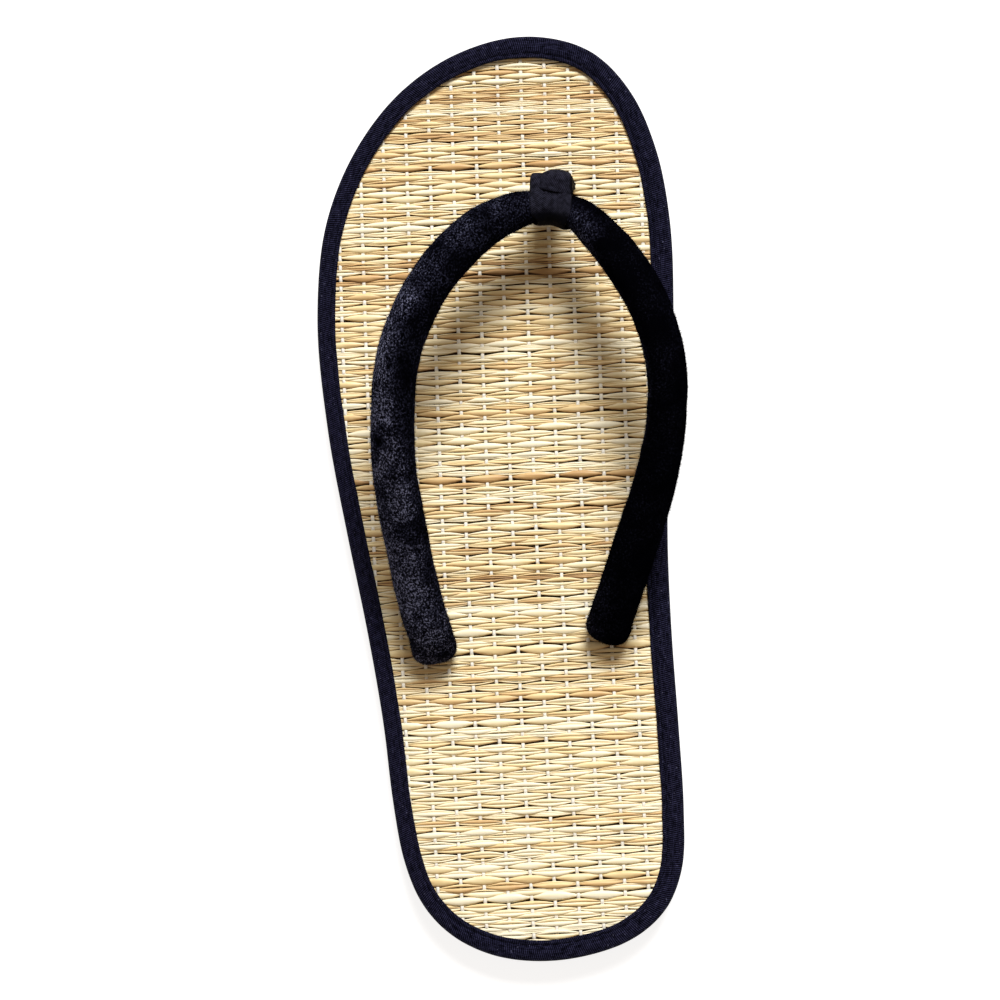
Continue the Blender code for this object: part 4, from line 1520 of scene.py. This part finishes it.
@dataclass(frozen=True)
class Fold:
    """One fold of the toe post.

    Attributes:
        offset: How far its middle is from the knot's, along X.
        width: Its width.
        thickness: Its thickness.
        front: How square its front is: about 2 for a round one.
        slant: Slope of its hem across its width.
        shift: How far it is moved to the toe.
        drop: How much lower its top is.
        reach: How much further its hem reaches.
    """

    offset: float
    width: float
    thickness: float
    front: float
    slant: float
    shift: float = 0.0
    drop: float = 0.0
    reach: float = 0.0

    def ring(
        self,
        centre: Sequence[float],
        angle: float,
        width: float,
        thickness: float,
        shape: tuple[np.ndarray, np.ndarray, np.ndarray],
    ) -> np.ndarray:
        """One ring of the fold, square to its run.

        Args:
            centre: Its middle.
            angle: Turn of the run from upright, in radians.
            width: Share of the fold's width.
            thickness: Share of the fold's thickness.
            shape: Cosines, sines and sizes of the ring's points.

        Returns:
            The ring's points.
        """
        c, s, size = shape
        through = np.array([0.0, math.cos(angle), math.sin(angle)])
        wide = (size * c * width * self.width / 2)[:, None] * np.array([1.0, 0.0, 0.0])
        deep = (size * s * thickness * self.thickness / 2)[:, None] * through
        return np.array(centre) + wide + deep


# The post's folds by the names of their pieces: a wide one, and a narrow one beside it.
POST_FOLDS = {
    "post_sleeve": Fold(
        offset=1.25 * MM,
        width=9.7 * MM,
        thickness=4.9 * MM,
        front=1.9,
        slant=-0.20,
        reach=-0.3 * MM,
    ),
    "post_side_fold": Fold(
        offset=-4.1 * MM,
        width=3.9 * MM,
        thickness=4.1 * MM,
        front=4.2,
        slant=0.25,
        shift=-0.5 * MM,
        drop=0.7 * MM,
        reach=-0.8 * MM,
    ),
}

# How much the hem's rings are drawn in, and how far each reaches in millimetres.
HEM_RINGS = ((1.02, 0.4), (1.04, 1.1), (1.00, 1.6), (0.90, 1.8), (0.70, 1.6))


@dataclass
class ToeKnot:
    """Cotton loop wound round the strap, and the folded post that holds it.

    Attributes:
        run: The strap's run.
        sole: The sole, whose spring lifts the knot.
        loop_width: Width of the loop along the strap.
        loop_tape: Thickness of the loop.
        gap: Clearance to the strap.
        post_thickness: Thickness of the post.
        bend: Radius of the post's fold at its top.
        pinch: How much narrower the loop is on its heel side, as a share.
        squareness: How square the loop's oval section is.
        rings: Rings across the loop.
        barrel_rise: How much the loop bulges at its middle.
        heel_thinning: How much thinner the loop's cloth is on its heel side, as a share.
        heel_swelling: How much more it bulges there, as a share.
        hem_at: How far to the toe the post's hem lies on the loop, from the knot's middle.
        hem_shade: Breadth of the hem's shade.
        post_clearance: Distance between the strap's edge and the loop's inside before the post.
        post_foot: Height of the post's lower end, below the mat.
        sides: Points in each ring.
        folds: Folds of the loop: place across it, depth, breadth and slant, as shares.
    """

    run: StrapRun
    sole: SoleForm
    loop_width: float = 12.0 * MM
    loop_tape: float = 1.2 * MM
    gap: float = 0.15 * MM
    post_thickness: float = 4.5 * MM
    bend: float = 3.4 * MM
    pinch: float = 0.17
    squareness: float = 2.15
    rings: int = 49
    barrel_rise: float = 0.75 * MM
    heel_thinning: float = 0.70
    heel_swelling: float = 0.8
    hem_at: float = 1.7 * MM
    hem_shade: float = 0.70 * MM
    post_clearance: float = 0.6 * MM
    post_foot: float = 7.2 * MM
    sides: int = 96
    folds: Sequence[tuple[float, float, float, float]] = (
        (-0.72, 0.50, 0.05, 0.10),
        (-0.48, 0.34, 0.04, -0.14),
        (-0.20, 0.16, 0.05, -0.20),
        (0.34, 0.12, 0.06, 0.06),
        (0.80, 0.30, 0.05, -0.06),
    )

    def knot(self) -> tuple[np.ndarray, float]:
        """Place of the knot and half the strap's width there."""
        place = columns_at(np.array([self.run.knot_at]), self.run.length, self.run.place)[0]
        return place, float(np.interp(self.run.knot_at, self.run.length, self.run.half_width))

    def build_loop(self, material: bpy.types.Material) -> None:
        """Makes the loop: a short barrel round the strap, with a few folds wound with it."""
        share = np.linspace(-1.0, 1.0, self.rings)
        turns = ring_turns(self.sides)
        folds = np.zeros((len(share), self.sides))
        for place, depth, breadth, slant in self.folds:
            centre = place + slant * np.sin(turns + 0.6)[None, :]
            folds += depth * bell(share[:, None], centre, breadth)
        folds *= 1.0 - 0.85 * np.clip(np.cos(turns), 0.0, 1.0)[None, :]
        hem = np.sqrt(np.clip(1.0 - np.abs(share) ** 8, 0.0, 1.0))[:, None]
        barrel = self.barrel_rise * (1.0 - share[:, None] ** 2)
        heelward = np.clip(np.cos(turns), 0.0, 1.0)[None, :] ** 2
        tape = self.loop_tape * hem * (1.0 - folds) * (1.0 - self.heel_thinning * heelward)
        outside = self.barrel(share, self.gap + barrel * (1.0 + self.heel_swelling * heelward) + tape)
        inside = self.barrel(share, np.full((len(share), 1), self.gap))[::-1]
        rings = np.concatenate([outside, inside[1:-1]])
        rings[:, :, 2] += self.sole.lift(rings[:, :, 1])
        loop = Loft(rings, wrapped=True).build("knot_loop", material)
        store(loop.data, "shaded", self.loop_shade(rings))
        settle(loop, Slot.COTTON_TWILL, "toe_loop")

    def loop_shade(self, rings: np.ndarray) -> np.ndarray:
        """How much darker the loop is: on its heel side, and close under the post's hem."""
        x, y = (rings[:, :, axis] - self.knot()[0][axis] for axis in (0, 1))
        turns = ring_turns(self.sides)
        below = 0.92 * smoothstep(0.42, 0.92, np.cos(turns))[None, :]
        sleeve = POST_FOLDS["post_sleeve"]
        hem = self.hem_at + sleeve.slant * (x - sleeve.offset)
        hem = hem + 1.0 * MM * smoothstep(3.0 * MM, 3.6 * MM, -x)
        hem -= 0.5 * MM * smoothstep(3.0 * MM, 5.5 * MM, x)
        beside = bell(y, hem, self.hem_shade) * (np.sin(turns) > 0)[None, :]
        return np.maximum(below, 0.97 * beside)

    def barrel(self, share: np.ndarray, grow: np.ndarray) -> np.ndarray:
        """Parallel oval rings round the strap's neck.

        Args:
            share: Places across the loop, from -1 to 1.
            grow: Length added all round, for each ring and point.

        Returns:
            Array of rings, points and coordinates.
        """
        run, (place, _) = self.run, self.knot()
        near = np.abs(run.length - run.knot_at) < 1.5 * self.loop_width
        rows = np.column_stack([run.place, run.half_width, run.half_depth])[near]
        x = place[0] + share * self.loop_width / 2
        rows = columns_at(x, run.place[near, 0], rows)
        slant = np.sqrt(1.0 + np.gradient(rows[:, 1], x) ** 2)[:, None]
        across = columns_at(np.array([run.knot_at]), run.length, run.across)[0] * (0, 1, 1)
        across /= np.linalg.norm(across)
        through = np.cross((1.0, 0.0, 0.0), across)
        turns = ring_turns(self.sides)
        c, s = np.cos(turns), np.sin(turns)
        size = squarish(c, s, self.squareness)
        wide = (rows[:, 3:4] * slant + grow) * size * c
        deep = (rows[:, 4:5] + grow) * size * s
        rings = rows[:, None, :3] + wide[:, :, None] * across + deep[:, :, None] * through
        pinch = 1.0 - self.pinch * np.clip(c, 0.0, 1.0) ** 2 - 0.20 * smoothstep(0.70, 1.0, c)
        rings[:, :, 0] = place[0] + (rings[:, :, 0] - place[0]) * pinch
        return rings

    def build_post(self, material: bpy.types.Material) -> None:
        """Makes the post: a wide and a narrow fold side by side, cupped over the loop."""
        for name, fold in POST_FOLDS.items():
            rings = self.post_rings(fold)
            rings[:, :, 2] += self.sole.lift(rings[:, :, 1])
            post = Loft(rings).build(name, material)
            aside = np.abs(rings[:, :, 0] - self.knot()[0][0] - fold.offset) / (fold.width / 2)
            shaded = 0.85 * smoothstep(0.80, 1.0, aside)
            shaded[-2:] = 0.9
            store(post.data, "shaded", shaded)
            settle(post, Slot.COTTON_TWILL, "toe_post")

    def post_rings(self, fold: Fold) -> np.ndarray:
        """Rings of one fold of the post, from below the mat to its hem over the loop."""
        place, half_width = self.knot()
        y = place[1] + half_width + self.post_clearance + self.loop_tape
        y += self.post_thickness / 2 + fold.shift
        x, z = place[0] + fold.offset, place[2] - fold.drop
        turns = ring_turns(self.sides)
        c, s = np.cos(turns), np.sin(turns)
        size = squarish(c, s, np.where(s > 0, fold.front, 4.0))
        edge = smoothstep(0.80, 0.98, np.abs(c * size))
        size = size * (1.0 - 0.05 * edge * (0.5 - 0.5 * np.cos(s * size * 4 * math.pi)))
        rings = []
        for height in np.linspace(self.post_foot, z, 28):
            sag = 0.95 + 0.02 * math.sin(height / (3 * MM))
            rings.append(fold.ring((x, y, height), 0.0, sag, 1.0, (c, s, size)))
        for turn in np.linspace(4.0, 86.0, 24):
            angle = math.radians(turn)
            back = self.bend * (1 - math.cos(angle))
            thin = 1.0 - 0.36 * float(smoothstep(40.0, 86.0, np.array(turn)))
            spot = (x, y - back, z + self.bend * math.sin(angle))
            rings.append(fold.ring(spot, angle, 1.0, thin, (c, s, size)))
        end = rings[-1]
        centre = end.mean(axis=0)
        slope = (end[:, 0] - x) * fold.slant
        for shrink, reach in HEM_RINGS:
            ring = centre + (end - centre) * shrink
            ring[:, 1] += (slope - reach * MM - fold.reach) * min(1.0, reach / 1.1)
            rings.append(ring)
        return np.array(rings)

    def build(self) -> None:
        """Makes the loop and the post."""
        twill = BlackTwill().make()
        self.build_loop(twill)
        self.build_post(twill)


@dataclass
class Studio:
    """Camera, light and floor.

    Attributes:
        eye: Where the camera stands, over the space beside the sandal's big toe side.
        aim: What it looks at.
        seen_width: Breadth of what it sees at the aim.
        sensor: Width of its sensor in millimetres.
        light_at: Where the key light stands.
        light_size: Breadth of the key light.
        light_power: Its power in watts.
        sky: Colour of the light from all sides.
        sky_strength: Its strength.
        floor_reach: Half the floor's breadth.
    """

    eye: tuple[float, float, float] = (0.0704, 0.0061, 0.810)
    aim: tuple[float, float, float] = (-0.0005, 0.0, 0.010)
    seen_width: float = 0.2925
    sensor: float = 36.0
    light_at: tuple[float, float, float] = (0.65, 2.80, 2.80)
    light_size: float = 1.45
    light_power: float = 216.0
    sky: Colour = (1.0, 0.82, 0.67)
    sky_strength: float = 0.28
    floor_reach: float = 3.0

    def add_camera(self) -> None:
        """Adds the camera, with the toe up in its view."""
        data = bpy.data.cameras.new("camera")
        distance = (Vector(self.eye) - Vector(self.aim)).length
        data.sensor_width = self.sensor
        data.lens = self.sensor * distance / self.seen_width
        data.clip_start = 0.01
        camera = new_object("camera", data)
        back = (Vector(self.eye) - Vector(self.aim)).normalized()
        right = Vector((0.0, 1.0, 0.0)).cross(back).normalized()
        up = back.cross(right)
        turned = Matrix((right, up, back)).transposed()
        camera.matrix_world = Matrix.Translation(self.eye) @ turned.to_4x4()
        bpy.context.scene.camera = camera

    def add_light(self) -> None:
        """Adds the square soft key light, which faces the sandal."""
        data = bpy.data.lights.new("key_light", "AREA")
        data.size = self.light_size
        data.energy = self.light_power
        light = new_object("key_light", data)
        light.location = self.light_at
        light.rotation_euler = Vector(self.light_at).to_track_quat("Z", "Y").to_euler()

    def add_floor(self) -> None:
        """Adds the pale floor."""
        reach = self.floor_reach
        corners = [(reach * x, reach * y, 0.0) for x, y in ((-1, -1), (1, -1), (1, 1), (-1, 1))]
        mesh = bpy.data.meshes.new("studio_floor")
        mesh.from_pydata(corners, [], [(0, 1, 2, 3)])
        mesh.materials.append(StudioPaper().make())
        new_object("studio_floor", mesh)

    def build(self) -> None:
        """Sets the studio up."""
        self.add_camera()
        self.add_light()
        self.add_floor()
        world = bpy.data.worlds.new("studio_world")
        world.use_nodes = True
        inputs = world.node_tree.nodes["Background"].inputs
        inputs["Color"].default_value = (*self.sky, 1.0)
        inputs["Strength"].default_value = self.sky_strength
        scene = bpy.context.scene
        scene.world = world
        scene.view_settings.view_transform = "Standard"
        scene.view_settings.look = "None"


def main() -> None:
    """Builds the sandal's pieces in order, and then the studio."""
    logging.basicConfig(level=logging.INFO, format="%(name)s %(message)s")
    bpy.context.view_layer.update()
    sole = SoleForm()
    run = StrapRun(sole_length=float(np.ptp(sole.outline[:, 1])))
    tails = [tuple(run.place[end][:2]) for end in (0, -1)]
    holes = [(x, y, HOLE_RADIUS) for x, y in tails]
    RushMat(sole, holes).build()
    Binding(sole).build()
    VelvetStrap(run).build()
    ToeKnot(run, sole).build()
    FoamSole(sole).build()
    Studio().build()


if __name__ == "__main__":
    main()
